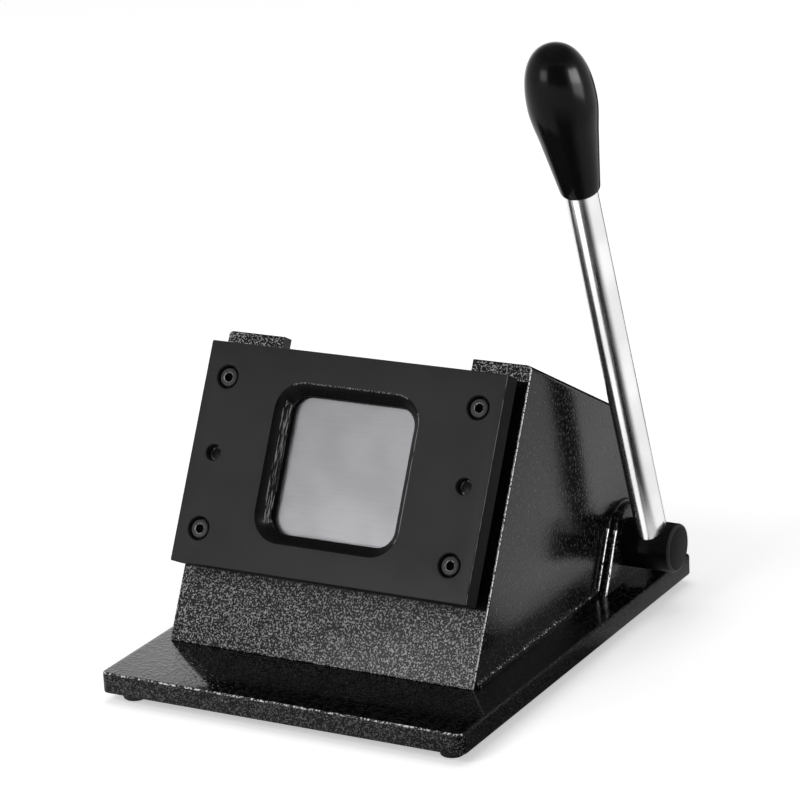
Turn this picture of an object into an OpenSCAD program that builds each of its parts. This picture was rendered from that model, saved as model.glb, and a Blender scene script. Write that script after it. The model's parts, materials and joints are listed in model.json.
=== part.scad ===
// Square paper punch: a hand lever turns a cam, which drives a square punch through card into a die plate.
// Millimetres, +Z up, +Y to the rear, origin on the floor under the middle of the machine.

/* [Base] */
// Width of the base plate
base_w = 150; // [140:1:180]
// Thickness of the base plate
base_t = 8; // [6:0.5:12]
// Radius of the base plate's upright corners
base_r = 3; // [1:0.5:6]
// Depth of base plate in front of the housing
base_front = 37; // [25:1:60]
// Depth of base plate behind the housing
base_rear = 10; // [4:1:30]
// Height of a rubber foot
foot_h = 4; // [3.5:0.1:8]
// Diameter of a rubber foot where it meets the base
foot_d = 10; // [9:0.5:14]
// How much a foot narrows towards the floor, on the diameter
foot_taper = 1; // [0:0.1:2]
// Distance of a foot's centre from the base plate's edges
foot_inset = 9; // [8:0.5:16]
// Rubber left between a foot screw's head and the base
foot_web = 1.8; // [1.2:0.1:1.9]

/* [Housing] */
// Width of the housing over its side walls
house_w = 128; // [120:1:136]
// Sideways shift of the housing from the middle of the base
house_shift = -4; // [-6:0.5:0]
// Angle by which the front leans back from upright
lean = 27.5; // [24:0.5:32]
// Length of the front, measured up the slope
front_len = 119; // [116:1:132]
// Thickness of the front wall
front_wall = 6; // [5:0.5:8]
// Thickness of a side wall
side_wall = 5; // [4:0.5:7]
// Thickness of the rear wall
rear_wall = 5; // [4:0.5:7]
// Distance from the shaft's axis to the outside of the rear wall
rear_room = 22; // [20:0.5:34]
// Width of the notch between the two ears at the top of the front
notch_w = 80; // [60:1:90]
// How far the cover lies below the ears and the side walls
cover_sink = 5; // [3:0.5:7]
// Thickness of the cover sheet
cover_t = 2; // [1.5:0.25:3]
// Width of the ledges that carry the cover
ledge_w = 7; // [6:0.5:9]
// Thickness of the ledges that carry the cover
ledge_t = 6; // [5:0.5:8]
// Height of the inner posts that take the housing bolts
post_h = 14; // [13:0.5:16]
// Width of the inner posts that take the housing bolts
post_w = 13; // [11:0.5:15]
// Distance of the front bolts behind the foot of the front wall
bolt_front = 26; // [24:1:32]
// Distance of the rear bolts in front of the shaft's axis
bolt_rear = 23; // [22:1:30]

/* [Bearing] */
// Diameter of the cross shaft
shaft_d = 19; // [17:0.5:20]
// Length of shaft that stands out past the right-hand bearing boss
shaft_over = 20; // [17:0.5:26]
// Chamfer on the shaft's ends
shaft_chamfer = 1; // [0.5:0.25:2]
// Wall of a bearing bush
bush_wall = 2.5; // [2:0.25:3.5]
// Wall of the boss around a bush
boss_wall = 3.5; // [2.5:0.25:5]
// How far a bearing boss stands out from the side wall
boss_raise = 4; // [2:0.5:5]
// Thickness of the boss's lip in front of the bush
lip_t = 1.5; // [1:0.25:2.5]
// Angle at which a boss's sides spread towards the base
boss_flare = 25; // [15:1:30]
// Thickness of a retaining ring on the shaft
ring_t = 1.5; // [1:0.1:2]

/* [Die] */
// Side of the punched square
cut_size = 52; // [46:1:56]
// Corner radius of the punched square
cut_r = 7; // [4:0.5:10]
// How much the die opening widens towards the front, on each side
die_flare = 4; // [2:0.25:5]
// Straight wall behind the widening
die_land = 1; // [0.5:0.1:2]
// Width of the die plate
die_w = 124; // [118:1:132]
// Height of the die plate, measured up the slope
die_h = 84; // [78:1:90]
// Thickness of the die plate
die_t = 8; // [7:0.5:11]
// Middle of the die plate, measured up the slope from the foot of the front
die_mid = 70.7; // [66:0.1:74]
// Thickness of the slot that takes the card
slot_t = 2; // [1:0.25:3]
// Solid margin at each side of the card slot
slot_margin = 15; // [14:0.5:18]
// Thickness of the guide plate behind the slot
guide_t = 6; // [5:0.5:8]
// How far the guide plate's sides lie inside those of the die plate
guide_inset = 4; // [0:0.5:5]
// Distance of the die screws and dowels from the plate's side edges
screw_inset_x = 9.5; // [9:0.25:10]
// Distance of the die screws from the plate's top and bottom edges
screw_inset_y = 13.25; // [10:0.25:18]
// Diameter of a dowel pin
dowel_d = 6; // [5:0.5:7]
// Depth of a dowel's front end below the face of the die plate
dowel_sunk = 3; // [1:0.25:4]

/* [Punch and ram] */
// Length of the punch
punch_len = 40; // [34:1:46]
// Distance of the resting punch behind the card slot
punch_rest = 0.5; // [0.3:0.1:1]
// Height of the ram plate, measured up the slope
ram_h = 40; // [38:1:48]
// Thickness of the ram plate
ram_t = 12; // [10:0.5:15]
// Diameter of a guide rod
guide_d = 10; // [8:0.5:11]
// Distance of a guide rod's axis from the side of the punch
guide_off = 14; // [13.5:0.25:15]
// Ram plate outside a guide rod's axis
ram_margin = 10; // [8:0.5:12]
// Diameter of the bosses that hold the guide rods
rod_boss_d = 18; // [17:0.5:19]
// Length of the bosses that hold the guide rods
rod_boss_h = 8; // [5:0.5:10]
// Diameter of the push stem
stem_d = 22; // [18:0.5:24]
// Wire of a return spring
wire_d = 1.6; // [1:0.1:2]
// Mean diameter of a return spring
spring_d = 14; // [13.5:0.25:15]
// Turns of a return spring
spring_turns = 6; // [4:1:6]

/* [Cam and lever] */
// Wall of the cam around the shaft
cam_wall = 3; // [2.5:0.25:4]
// Clearance between the cam and the base plate
cam_room = 1.7; // [1:0.1:4]
// Height of the cam's lobe over its round back, at rest
cam_step = 2.5; // [1.5:0.25:4]
// Lift of the cam for each radian of lever
cam_lift = 4.5; // [4:0.1:5.5]
// Width of the cam
cam_w = 18; // [14:1:24]
// Travel of the lever in degrees
lever_throw = 60; // [50:1:65]
// Forward lean of the lever at rest
lever_lean = 20; // [0:1:25]
// Diameter of the lever rod
rod_d = 12; // [10:0.5:14]
// Length of the lever from the shaft's axis to the knob
rod_len = 164; // [140:1:190]
// Length of the knob
knob_len = 60; // [50:1:80]
// Largest diameter of the knob
knob_d = 25; // [22:0.5:32]
// Diameter of the knob at the rod
knob_foot_d = 14.4; // [14.2:0.1:18]
// Diameter of the knob where its straight taper ends
knob_neck_d = 21.2; // [19:0.1:21.8]
// Height on the knob where its straight taper ends
knob_neck_h = 23; // [18:0.5:28]
// Height on the knob of its largest diameter
knob_wide_h = 37; // [32:0.5:42]
// Fullness of the knob's dome: 2 is an ellipse, more is blunter
knob_dome_full = 2.4; // [2:0.1:3]

/* [Clearances] */
// Radial clearance of turning and sliding fits
run_gap = 0.05; // [0.02:0.01:0.1]
// Radial clearance of seats and screw holes
seat_gap = 0.02; // [0.01:0.01:0.05]
// Clearance between parts that move past each other
free_gap = 0.3; // [0.2:0.05:0.5]
// Clearance between the cam and the push stem
cam_gap = 0.1; // [0.05:0.01:0.2]

/* [Hidden] */
$fn = 64;

// Length by which a cutting shape runs past the face that it cuts
over = 1;
// A length that reaches past the whole machine
far = 400;

// Screws: thread, head and head height, with the key size of the socket
m3_d = 3;
m3_head_d = 5.6;
m3_head_h = 1.8;
m3_key = 2;
m3_reach = 5;
m4_d = 4;
m4_head_d = 7;
m4_head_h = 4;
m4_key = 3;
m4_bore_d = 8.8;
m4_sunk = 0.6;
m5_d = 5;
m5_head_d = 8.5;
m5_head_h = 5;
m5_key = 4;
m5_bore_d = 9.2;
m5_reach = 12;
m6_d = 6;
m6_head_d = 12;
m6_head_h = 3.3;
m6_key = 4;
m6_reach = 10;
// Depth of a socket as a share of the head
socket_share = 0.55;

// Heights, the shaft's place and the depth of the machine
base_top = foot_h + base_t;
cam_root = shaft_d / 2 + cam_wall;
cam_start = cam_root + cam_step;
shaft_rise = cam_root + cam_room;
shaft_back = (die_mid * cos(lean) - shaft_rise) / sin(lean);
house_depth = die_mid * sin(lean) + shaft_back * cos(lean) + rear_room;
base_d = base_front + house_depth + base_rear;
foot_y = base_front - base_d / 2;
rear_y = foot_y + house_depth;
shaft_y = rear_y - rear_room;
shaft_z = base_top + shaft_rise;

// Sideways places, so that the origin lies under the middle of the whole machine
boss_face = house_w / 2 + boss_raise;
shaft_end = boss_face + shaft_over;
lever_x = boss_face + shaft_over / 2;
base_x = (base_w / 2 - house_shift - shaft_end) / 2;
house_x = base_x + house_shift;
inner_w = house_w - 2 * side_wall;

// Housing outline in the Y-Z plane
top_y = foot_y + front_len * sin(lean);
top_z = base_top + front_len * cos(lean);
rear_top_z = top_z - (rear_y - top_y) * tan(lean);
house_outline = [[foot_y, base_top], [top_y, top_z], [rear_y, rear_top_z], [rear_y, base_top]];

// Cover, measured up the slope from the middle of the die and back from the front face
ear_top = front_len - die_mid;
cover_top = ear_top - cover_sink;
cover_low = cover_top - cover_t;
cover_back = (house_depth - (die_mid + cover_low) * sin(lean)) / cos(lean);
cover_screw_x = inner_w / 2 - ledge_w / 2;
cover_screw_inset = 12;
cover_gap = 0.15;
cover_screw_places = [front_wall + cover_screw_inset, cover_back - rear_wall - cover_screw_inset];

// Bolts between base and housing
bolt_x = inner_w / 2 - post_w / 2;
bolt_rows = [foot_y + bolt_front, shaft_y - bolt_rear];

// Bearings
bush_d = shaft_d + 2 * bush_wall;
boss_r = bush_d / 2 + boss_wall;
boss_len = side_wall + boss_raise;
bush_len = boss_len - lip_t;
shaft_start = boss_face - shaft_chamfer / 2;
ring_x = inner_w / 2 - free_gap - ring_t;
ring_rim = 3.5;
ring_d = shaft_d + 2 * ring_rim;
groove_depth = 0.8;

// Die and guide, measured out from the housing's front face
slot_w = die_w - 2 * slot_margin;
slot_n = guide_t + slot_t;
die_face = guide_t + die_t;
screw_x = die_w / 2 - screw_inset_x;
screw_s = die_h / 2 - screw_inset_y;
screw_seat = die_face - m4_head_h - m4_sunk;
tip_gap = 1;
screw_tip = tip_gap - front_wall;
dowel_tip = tip_gap - front_wall;
window_gap = 1;
blind_gap = 0.1;

// Punch and ram, measured out from the housing's front face
punch_face = guide_t - punch_rest;
ram_face = punch_face - punch_len;
ram_back = ram_face - ram_t;
guide_x = cut_size / 2 + guide_off;
ram_w = 2 * (guide_x + ram_margin);
ram_r = 5;
rod_front = -front_wall;
rod_boss_end = -front_wall - rod_boss_h;
clip_t = 1.2;
clip_front = ram_back - free_gap;
rod_tail = 3;
rod_end = clip_front - clip_t - rod_tail;
clip_rim = 3;
clip_d = guide_d + 2 * clip_rim;
stem_tip = cam_start + cam_gap - shaft_back;
spigot_d = 12;
spigot_h = 8;
bore_margin = 2.5;
punch_screw_x = stem_d / 2 + m5_bore_d / 2 + bore_margin;
punch_screw_s = 12;
punch_screw_seat = ram_back + m5_head_h + free_gap;

// Return springs, seated between the rod bosses and the ram plate
spring_seat_gap = 0.15;
spring_front = rod_boss_end - spring_seat_gap - wire_d / 2;
spring_rear = ram_face + spring_seat_gap + wire_d / 2;
spring_rings = 8;
spring_sides = 6;
// Share by which the end turns lie closer than the mean pitch
spring_close = 0.25;

// Cam, key and lever
cam_margin = 8;
cam_step_deg = 2;
key_w = 5;
key_deg = lever_throw / 2;
rod_seat = 4.5;
rod_spigot_d = 8;
rod_spigot_h = 10;
knob_thread_d = 9;
knob_thread_h = 28;
knob_blend_steps = 8;
knob_dome_steps = 16;

// Extrudes a shape drawn in the Y-Z plane along X from x over w, counted from the middle of the housing
module slab(x, w) {
    translate([house_x + x, 0, 0])
        rotate([90, 0, 90])
            linear_extrude(w)
                children();
}

// Frame on the housing's front face, origin at the die's middle: x right, y up the slope, z out of the face
module on_front() {
    translate([house_x, foot_y + die_mid * sin(lean), base_top + die_mid * cos(lean)])
        rotate([90 - lean, 0, 0])
            children();
}

// Frame on the shaft's axis, with z towards the part of the cam that lies deg behind the push stem
module on_cam(deg) {
    on_front()
        translate([0, 0, -shaft_back])
            rotate([-deg, 0, 0])
                children();
}

// Frame of the lever: z along the rod, origin on the shaft's axis
module on_lever() {
    translate([house_x + lever_x, shaft_y, shaft_z])
        rotate([lever_lean, 0, 0])
            children();
}

// Frame of the shaft: z along the shaft towards the lever, origin in the middle of the housing
module on_shaft() {
    translate([house_x, shaft_y, shaft_z])
        rotate([0, 90, 0])
            children();
}

// Puts children at equal distances x to the left and to the right
module at_sides(x) {
    for (side = [-1, 1])
        translate([side * x, 0, 0])
            children();
}

// Puts children on the axes of the two guide rods
module on_guides() {
    on_front()
        at_sides(guide_x)
            children();
}

// Puts children at each cover screw's place, with z out of the cover's upper face
module on_cover() {
    on_front()
        for (side = [-1, 1], back = cover_screw_places)
            translate([side * cover_screw_x, cover_top, -back])
                rotate([-90, 0, 0])
                    children();
}

// Puts children at each corner of a rectangle with half sides x and y
module at_corners(x, y) {
    for (sx = [-1, 1], sy = [-1, 1])
        translate([sx * x, sy * y, 0])
            children();
}

// Puts children at each foot's place on the floor
module at_feet() {
    translate([base_x, 0, 0])
        at_corners(base_w / 2 - foot_inset, base_d / 2 - foot_inset)
            children();
}

// Puts children at each housing bolt's place, at the height of the base plate's underside
module at_bolts() {
    for (side = [-1, 1], y = bolt_rows)
        translate([house_x + side * bolt_x, y, foot_h])
            children();
}

// Cylinder from height low to height high
module rod(d, low, high) {
    translate([0, 0, low])
        cylinder(d = d, h = high - low);
}

// Flat rectangle with round corners
module round_rect(w, h, r) {
    square([w - 2 * r, h], center = true);
    square([w, h - 2 * r], center = true);
    at_corners(w / 2 - r, h / 2 - r)
        circle(r = r);
}

// Rounded square that widens evenly from side w at the bottom by grow on each side over h
module flared_square(w, r, grow, h) {
    mid = w / 2 - r;
    at_corners(mid, mid)
        cylinder(h = h, r1 = r, r2 = r + grow);
    for (turn = [0, 90])
        rotate([90, 0, turn])
            translate([0, 0, -mid])
                linear_extrude(2 * mid)
                    polygon([[-w / 2, 0], [w / 2, 0], [w / 2 + grow, h], [-w / 2 - grow, h]]);
}

// Six-sided bar of width key across its flats
module hex_bar(key, h) {
    cylinder(d = key / cos(30), h = h, $fn = 6);
}

// Socket screw along -z with its head's seat at the origin
module socket_screw(d, head_d, head_h, key, reach) {
    difference() {
        union() {
            cylinder(d = head_d, h = head_h);
            rod(d, -reach, head_h / 2);
        }
        translate([0, 0, head_h * (1 - socket_share)])
            hex_bar(key, head_h);
    }
}

// Retaining ring with an open side, seated in a groove of diameter groove_d
module retaining_ring(outer_d, groove_d, t) {
    difference() {
        cylinder(d = outer_d, h = t);
        rod(groove_d + 2 * seat_gap, -over, t + over);
        translate([0, -outer_d / 2, t / 2])
            cube([groove_d / 2, outer_d, t + 2 * over], center = true);
    }
}

module base_plate() {
    color("dimgray")
        difference() {
            translate([base_x, 0, foot_h])
                linear_extrude(base_t)
                    round_rect(base_w, base_d, base_r);
            at_feet()
                rod(m3_d + 2 * seat_gap, foot_h - over, foot_h + m3_reach + blind_gap);
            at_bolts() {
                rod(m6_d + 2 * seat_gap, -over, base_t + over);
                cylinder(d1 = m6_head_d + 2 * seat_gap, d2 = m6_d + 2 * seat_gap, h = m6_head_h);
            }
        }
}

module rubber_feet() {
    color("black")
        at_feet()
            difference() {
                cylinder(d1 = foot_d - foot_taper, d2 = foot_d, h = foot_h);
                rod(m3_d + 2 * seat_gap, -over, foot_h + over);
                rod(m3_head_d + 2 * free_gap, -over, foot_h - foot_web);
            }
}

module foot_screws() {
    color("gray")
        at_feet()
            translate([0, 0, foot_h - foot_web])
                mirror([0, 0, 1])
                    socket_screw(m3_d, m3_head_d, m3_head_h, m3_key, foot_web + m3_reach);
}

// Outline of a bearing boss in the Y-Z plane, down to the base plate
module boss_outline() {
    shoulder_y = boss_r * cos(boss_flare);
    shoulder_z = boss_r * sin(boss_flare);
    spread = shoulder_y + (shaft_rise + shoulder_z) * tan(boss_flare);
    intersection() {
        translate([shaft_y, shaft_z]) {
            circle(r = boss_r);
            polygon([[-spread, -shaft_rise], [spread, -shaft_rise], [shoulder_y, shoulder_z],
                     [-shoulder_y, shoulder_z]]);
        }
        translate([foot_y, base_top])
            square([house_depth, far]);
    }
}

// Front, side and rear walls, open at the bottom and between the side walls at the top
module housing_walls() {
    front_skin = front_wall / cos(lean);
    rise = over * tan(lean);
    difference() {
        slab(-house_w / 2, house_w)
            polygon(house_outline);
        slab(-inner_w / 2, inner_w)
            polygon([[foot_y + front_skin - rise, base_top - over], [top_y + front_skin + rise, top_z + over],
                     [rear_y - rear_wall, top_z + over], [rear_y - rear_wall, base_top - over]]);
        on_front() {
            translate([-inner_w / 2, cover_low, -far - front_wall])
                cube([inner_w, far, far]);
            translate([-notch_w / 2, cover_top, -far / 2])
                cube([notch_w, far, far]);
        }
    }
}

// Ledges under the cover along the side walls
module housing_ledges() {
    intersection() {
        slab(-house_w / 2, house_w)
            polygon(house_outline);
        on_front()
            at_sides((inner_w - ledge_w + over) / 2)
                translate([0, cover_low - ledge_t / 2, over - front_wall - far / 2])
                    cube([ledge_w + over, ledge_t, far], center = true);
    }
}

// Everything that is bored or drilled into the housing
module housing_holes() {
    on_shaft() {
        rod(bush_d + 2 * seat_gap, lip_t - boss_face, boss_face - lip_t);
        rod(shaft_d + 2 * free_gap, -far / 2, far / 2);
    }
    on_front() {
        translate([0, 0, -front_wall - over])
            linear_extrude(front_wall + 2 * over)
                round_rect(cut_size + 2 * window_gap, cut_size + 2 * window_gap, cut_r + window_gap);
        at_corners(screw_x, screw_s)
            rod(m4_d + 2 * seat_gap, -front_wall - over, over);
        at_sides(screw_x)
            rod(dowel_d + 2 * seat_gap, dowel_tip - blind_gap, over);
    }
    on_guides()
        rod(guide_d + 2 * seat_gap, rod_boss_end - over, rod_front + blind_gap);
    at_bolts()
        rod(m6_d + 2 * seat_gap, 0, base_t + m6_reach + blind_gap);
    on_cover()
        rod(m3_d + 2 * seat_gap, -cover_t - ledge_t - over, over);
}

module housing() {
    color("dimgray")
        difference() {
            union() {
                housing_walls();
                housing_ledges();
                for (side = [-1, 1], y = bolt_rows)
                    translate([house_x + side * (bolt_x + over / 2), y, base_top + post_h / 2])
                        cube([post_w + over, post_w, post_h], center = true);
                for (x = [-boss_face, inner_w / 2])
                    slab(x, boss_len)
                        boss_outline();
                on_guides()
                    rod(rod_boss_d, rod_boss_end, -over);
            }
            housing_holes();
        }
}

module housing_bolts() {
    color("gray")
        at_bolts()
            difference() {
                union() {
                    cylinder(d1 = m6_head_d, d2 = m6_d, h = m6_head_h);
                    rod(m6_d, m6_head_h / 2, base_t + m6_reach);
                }
                translate([0, 0, -over])
                    hex_bar(m6_key, over + m6_head_h * socket_share);
            }
}

module top_cover() {
    color("dimgray")
        difference() {
            intersection() {
                slab(cover_gap - inner_w / 2, inner_w - 2 * cover_gap)
                    polygon(house_outline);
                on_front()
                    translate([-inner_w / 2, cover_low, -far - front_wall - cover_gap])
                        cube([inner_w, cover_t, far]);
            }
            on_cover()
                rod(m3_d + 2 * seat_gap, -cover_t - over, over);
        }
}

module cover_screws() {
    color("gray")
        on_cover()
            socket_screw(m3_d, m3_head_d, m3_head_h, m3_key, cover_t + m3_reach);
}

// Screw and dowel holes through the die and guide plates, from below to above them
module plate_holes() {
    at_corners(screw_x, screw_s)
        rod(m4_d + 2 * seat_gap, -over, die_face + over);
    at_sides(screw_x)
        rod(dowel_d + 2 * seat_gap, -over, die_face + over);
}

module guide_plate() {
    width = die_w - 2 * guide_inset;
    window = cut_size + 2 * run_gap;
    color("black")
        on_front()
            difference() {
                translate([-width / 2, -die_h / 2, 0])
                    cube([width, die_h, guide_t]);
                translate([0, 0, -over])
                    linear_extrude(guide_t + 2 * over)
                        round_rect(window, window, cut_r + run_gap);
                plate_holes();
            }
}

module die_plate() {
    opening = cut_size + 2 * run_gap;
    flare_h = die_t - slot_t - die_land;
    stretch = (flare_h + over) / flare_h;
    color("darkslategray")
        on_front()
            difference() {
                translate([-die_w / 2, -die_h / 2, guide_t])
                    cube([die_w, die_h, die_t]);
                translate([-slot_w / 2, -die_h / 2 - over, guide_t - over])
                    cube([slot_w, die_h + 2 * over, slot_t + over]);
                translate([0, 0, slot_n - over])
                    linear_extrude(die_land + over)
                        round_rect(opening, opening, cut_r + run_gap);
                translate([0, 0, slot_n + die_land])
                    flared_square(opening, cut_r + run_gap, die_flare * stretch, flare_h + over);
                plate_holes();
                at_corners(screw_x, screw_s)
                    rod(m4_bore_d, screw_seat, die_face + over);
            }
}

module die_screws() {
    color("black")
        on_front()
            at_corners(screw_x, screw_s)
                translate([0, 0, screw_seat])
                    socket_screw(m4_d, m4_head_d, m4_head_h, m4_key, screw_seat - screw_tip);
}

module dowel_pins() {
    color("gray")
        on_front()
            at_sides(screw_x)
                rod(dowel_d, dowel_tip, die_face - dowel_sunk);
}

module punch() {
    color("silver")
        on_front()
            difference() {
                translate([0, 0, ram_face])
                    linear_extrude(punch_len)
                        round_rect(cut_size, cut_size, cut_r);
                at_corners(punch_screw_x, punch_screw_s)
                    rod(m5_d + 2 * seat_gap, ram_face - over, ram_face + m5_reach + blind_gap);
            }
}

module ram_plate() {
    color("slategray")
        difference() {
            on_front()
                translate([0, 0, ram_back])
                    linear_extrude(ram_t)
                        round_rect(ram_w, ram_h, ram_r);
            on_guides()
                rod(guide_d + 2 * run_gap, ram_back - over, ram_face + over);
            on_front() {
                rod(spigot_d + 2 * seat_gap, ram_back - over, ram_back + spigot_h + blind_gap);
                at_corners(punch_screw_x, punch_screw_s) {
                    rod(m5_d + 2 * seat_gap, ram_back - over, ram_face + over);
                    rod(m5_bore_d, ram_back - over, punch_screw_seat);
                }
            }
        }
}

module punch_screws() {
    reach = ram_face + m5_reach - punch_screw_seat;
    color("gray")
        on_front()
            at_corners(punch_screw_x, punch_screw_s)
                translate([0, 0, punch_screw_seat])
                    mirror([0, 0, 1])
                        socket_screw(m5_d, m5_head_d, m5_head_h, m5_key, reach);
}

module push_stem() {
    color("silver")
        on_front() {
            rod(stem_d, stem_tip, ram_back);
            rod(spigot_d, ram_back - over, ram_back + spigot_h);
        }
}

module guide_rods() {
    color("silver")
        on_guides()
            difference() {
                rod(guide_d, rod_end, rod_front);
                difference() {
                    rod(guide_d + over, clip_front - clip_t - seat_gap, clip_front + seat_gap);
                    rod(guide_d - 2 * groove_depth, rod_end, rod_front);
                }
            }
}

module rod_clips() {
    color("gray")
        on_guides()
            translate([0, 0, clip_front - clip_t])
                retaining_ring(clip_d, guide_d - 2 * groove_depth, clip_t);
}

// Return spring: one tube along a helix whose end turns lie closer together
spring_count = spring_turns * spring_rings;
spring_share = function(t) t - spring_close * sin(360 * t) / (2 * PI);
spring_point = function(t) [
    spring_d / 2 * cos(360 * spring_turns * t),
    spring_d / 2 * sin(360 * spring_turns * t),
    spring_front + (spring_rear - spring_front) * spring_share(t)
];
spring_line = [for (i = [0 : spring_count]) spring_point(i / spring_count)];
// Least clear distance between turns, over points at least half a turn apart
spring_gap = min([for (i = [0 : spring_count], j = [i + spring_rings / 2 : 1 : spring_count])
    norm(spring_line[i] - spring_line[j])]) - wire_d;
echo(least_gap_between_spring_turns = spring_gap);

module return_spring(side) {
    points = [for (i = [0 : spring_count], k = [0 : spring_sides - 1])
        let (turn = 360 * i / spring_rings, around = 360 * k / spring_sides, r = wire_d / 2 * cos(around))
            spring_line[i] + [r * cos(turn), r * sin(turn), wire_d / 2 * sin(around)]];
    last = spring_count * spring_sides;
    walls = [for (i = [0 : spring_count - 1], k = [0 : spring_sides - 1], half = [0, 1])
        let (a = i * spring_sides + k, b = i * spring_sides + (k + 1) % spring_sides)
            half == 0 ? [a, b, a + spring_sides] : [b, b + spring_sides, a + spring_sides]];
    near_end = [for (k = [1 : spring_sides - 2]) [0, k + 1, k]];
    far_end = [for (k = [1 : spring_sides - 2]) [last, last + k, last + k + 1]];
    color("silver")
        on_front()
            translate([side * guide_x, 0, 0])
                polyhedron(points, concat(walls, near_end, far_end));
}

module return_spring_left() {
    return_spring(-1);
}

module return_spring_right() {
    return_spring(1);
}

module lever_shaft() {
    groove_d = shaft_d - 2 * groove_depth;
    tip_d = shaft_d - 2 * shaft_chamfer;
    color("black")
        difference() {
            on_shaft() {
                rod(shaft_d, shaft_chamfer - shaft_start, shaft_end - shaft_chamfer);
                translate([0, 0, shaft_end - shaft_chamfer])
                    cylinder(d1 = shaft_d, d2 = tip_d, h = shaft_chamfer);
                translate([0, 0, -shaft_start])
                    cylinder(d1 = tip_d, d2 = shaft_d, h = shaft_chamfer);
            }
            on_shaft()
                for (low = [-ring_x - ring_t, ring_x])
                    difference() {
                        rod(shaft_d + over, low - seat_gap, low + ring_t + seat_gap);
                        rod(groove_d, low - over, low + ring_t + over);
                    }
            on_lever() {
                rod(rod_d + 2 * seat_gap, rod_seat, shaft_d);
                rod(rod_spigot_d + 2 * seat_gap, rod_seat - rod_spigot_h - blind_gap, shaft_d);
            }
            on_cam(key_deg)
                key_block(seat_gap);
        }
}

// Block of the cam's key, larger by gap all round
module key_block(gap) {
    size = key_w + 2 * gap;
    translate([-cam_w / 2 - gap, -size / 2, shaft_d / 2 - size / 2])
        cube([cam_w + 2 * gap, size, size]);
}

// Frame on the cam's left side: x up the slope, y towards the push stem, z along the shaft
module beside_cam() {
    on_cam(0)
        translate([-cam_w / 2, 0, 0])
            rotate([90, 0, 90])
                children();
}

module cam() {
    lobe = [for (deg = [0 : cam_step_deg : lever_throw + cam_margin])
        let (lift = cam_start + cam_lift * deg * PI / 180)
            [lift * sin(deg) + cam_lift * cos(deg), lift * cos(deg) - cam_lift * sin(deg)]];
    color("silver")
        difference() {
            beside_cam() {
                cylinder(r = cam_root, h = cam_w);
                linear_extrude(cam_w)
                    polygon(concat([[0, 0]], lobe));
            }
            beside_cam()
                rod(shaft_d + 2 * seat_gap, -over, cam_w + over);
            on_cam(key_deg)
                translate([-cam_w / 2 - over, -key_w / 2 - seat_gap, 0])
                    cube([cam_w + 2 * over, key_w + 2 * seat_gap, shaft_d / 2 + key_w / 2 + seat_gap]);
        }
}

module cam_key() {
    color("gray")
        on_cam(key_deg)
            key_block(0);
}

// Bearing bush that starts at low, counted along the shaft from the middle of the housing
module bush(low) {
    color("goldenrod")
        on_shaft()
            difference() {
                rod(bush_d, low, low + bush_len);
                rod(shaft_d + 2 * run_gap, low - over, low + bush_len + over);
            }
}

module bush_left() {
    bush(lip_t - boss_face);
}

module bush_right() {
    bush(inner_w / 2);
}

module shaft_rings() {
    color("gray")
        on_shaft()
            for (low = [-ring_x - ring_t, ring_x])
                translate([0, 0, low])
                    retaining_ring(ring_d, shaft_d - 2 * groove_depth, ring_t);
}

module lever_rod() {
    color("gainsboro")
        on_lever() {
            rod(rod_d, rod_seat, rod_len);
            rod(rod_spigot_d, rod_seat - rod_spigot_h, rod_seat + over);
            rod(knob_thread_d, rod_len - over, rod_len + knob_thread_h);
        }
}

// Knob radius at a share t of the way from the end of the taper to the widest place, in a smooth blend
knob_slope = (knob_neck_d - knob_foot_d) / 2 / knob_neck_h;
knob_blend = function(t) (2 * t ^ 3 - 3 * t ^ 2 + 1) * knob_neck_d / 2
    + (t ^ 3 - 2 * t ^ 2 + t) * (knob_wide_h - knob_neck_h) * knob_slope
    + (3 * t ^ 2 - 2 * t ^ 3) * knob_d / 2;

module knob() {
    blend = [for (i = [0 : knob_blend_steps - 1])
        let (t = i / knob_blend_steps)
            [knob_blend(t), knob_neck_h + t * (knob_wide_h - knob_neck_h)]];
    dome = [for (i = [0 : knob_dome_steps])
        let (turn = 90 * i / knob_dome_steps, power = 2 / knob_dome_full)
            [knob_d / 2 * cos(turn) ^ power, knob_wide_h + (knob_len - knob_wide_h) * sin(turn) ^ power]];
    color("black")
        on_lever()
            translate([0, 0, rod_len])
                difference() {
                    rotate_extrude()
                        polygon(concat([[0, 0], [knob_foot_d / 2, 0]], blend, dome));
                    rod(knob_thread_d + 2 * seat_gap, -over, knob_thread_h + blind_gap);
                }
}

base_plate();
rubber_feet();
foot_screws();
housing();
housing_bolts();
top_cover();
cover_screws();
guide_plate();
die_plate();
die_screws();
dowel_pins();
punch();
ram_plate();
punch_screws();
push_stem();
guide_rods();
rod_clips();
return_spring_left();
return_spring_right();
lever_shaft();
cam();
cam_key();
bush_left();
bush_right();
shaft_rings();
lever_rod();
knob();
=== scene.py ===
"""Dresses the square paper punch: fine meshes, finishes, floor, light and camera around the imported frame.

Pieces are drawn in millimetres and handed over in metres, +Z up, +Y to the rear, as the solids are.
"""

import json
import logging
import math
from contextlib import contextmanager
from dataclasses import dataclass, field
from enum import Enum
from typing import Callable, Iterator, Sequence

import bmesh
import bpy
from mathutils import Matrix, Vector

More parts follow.
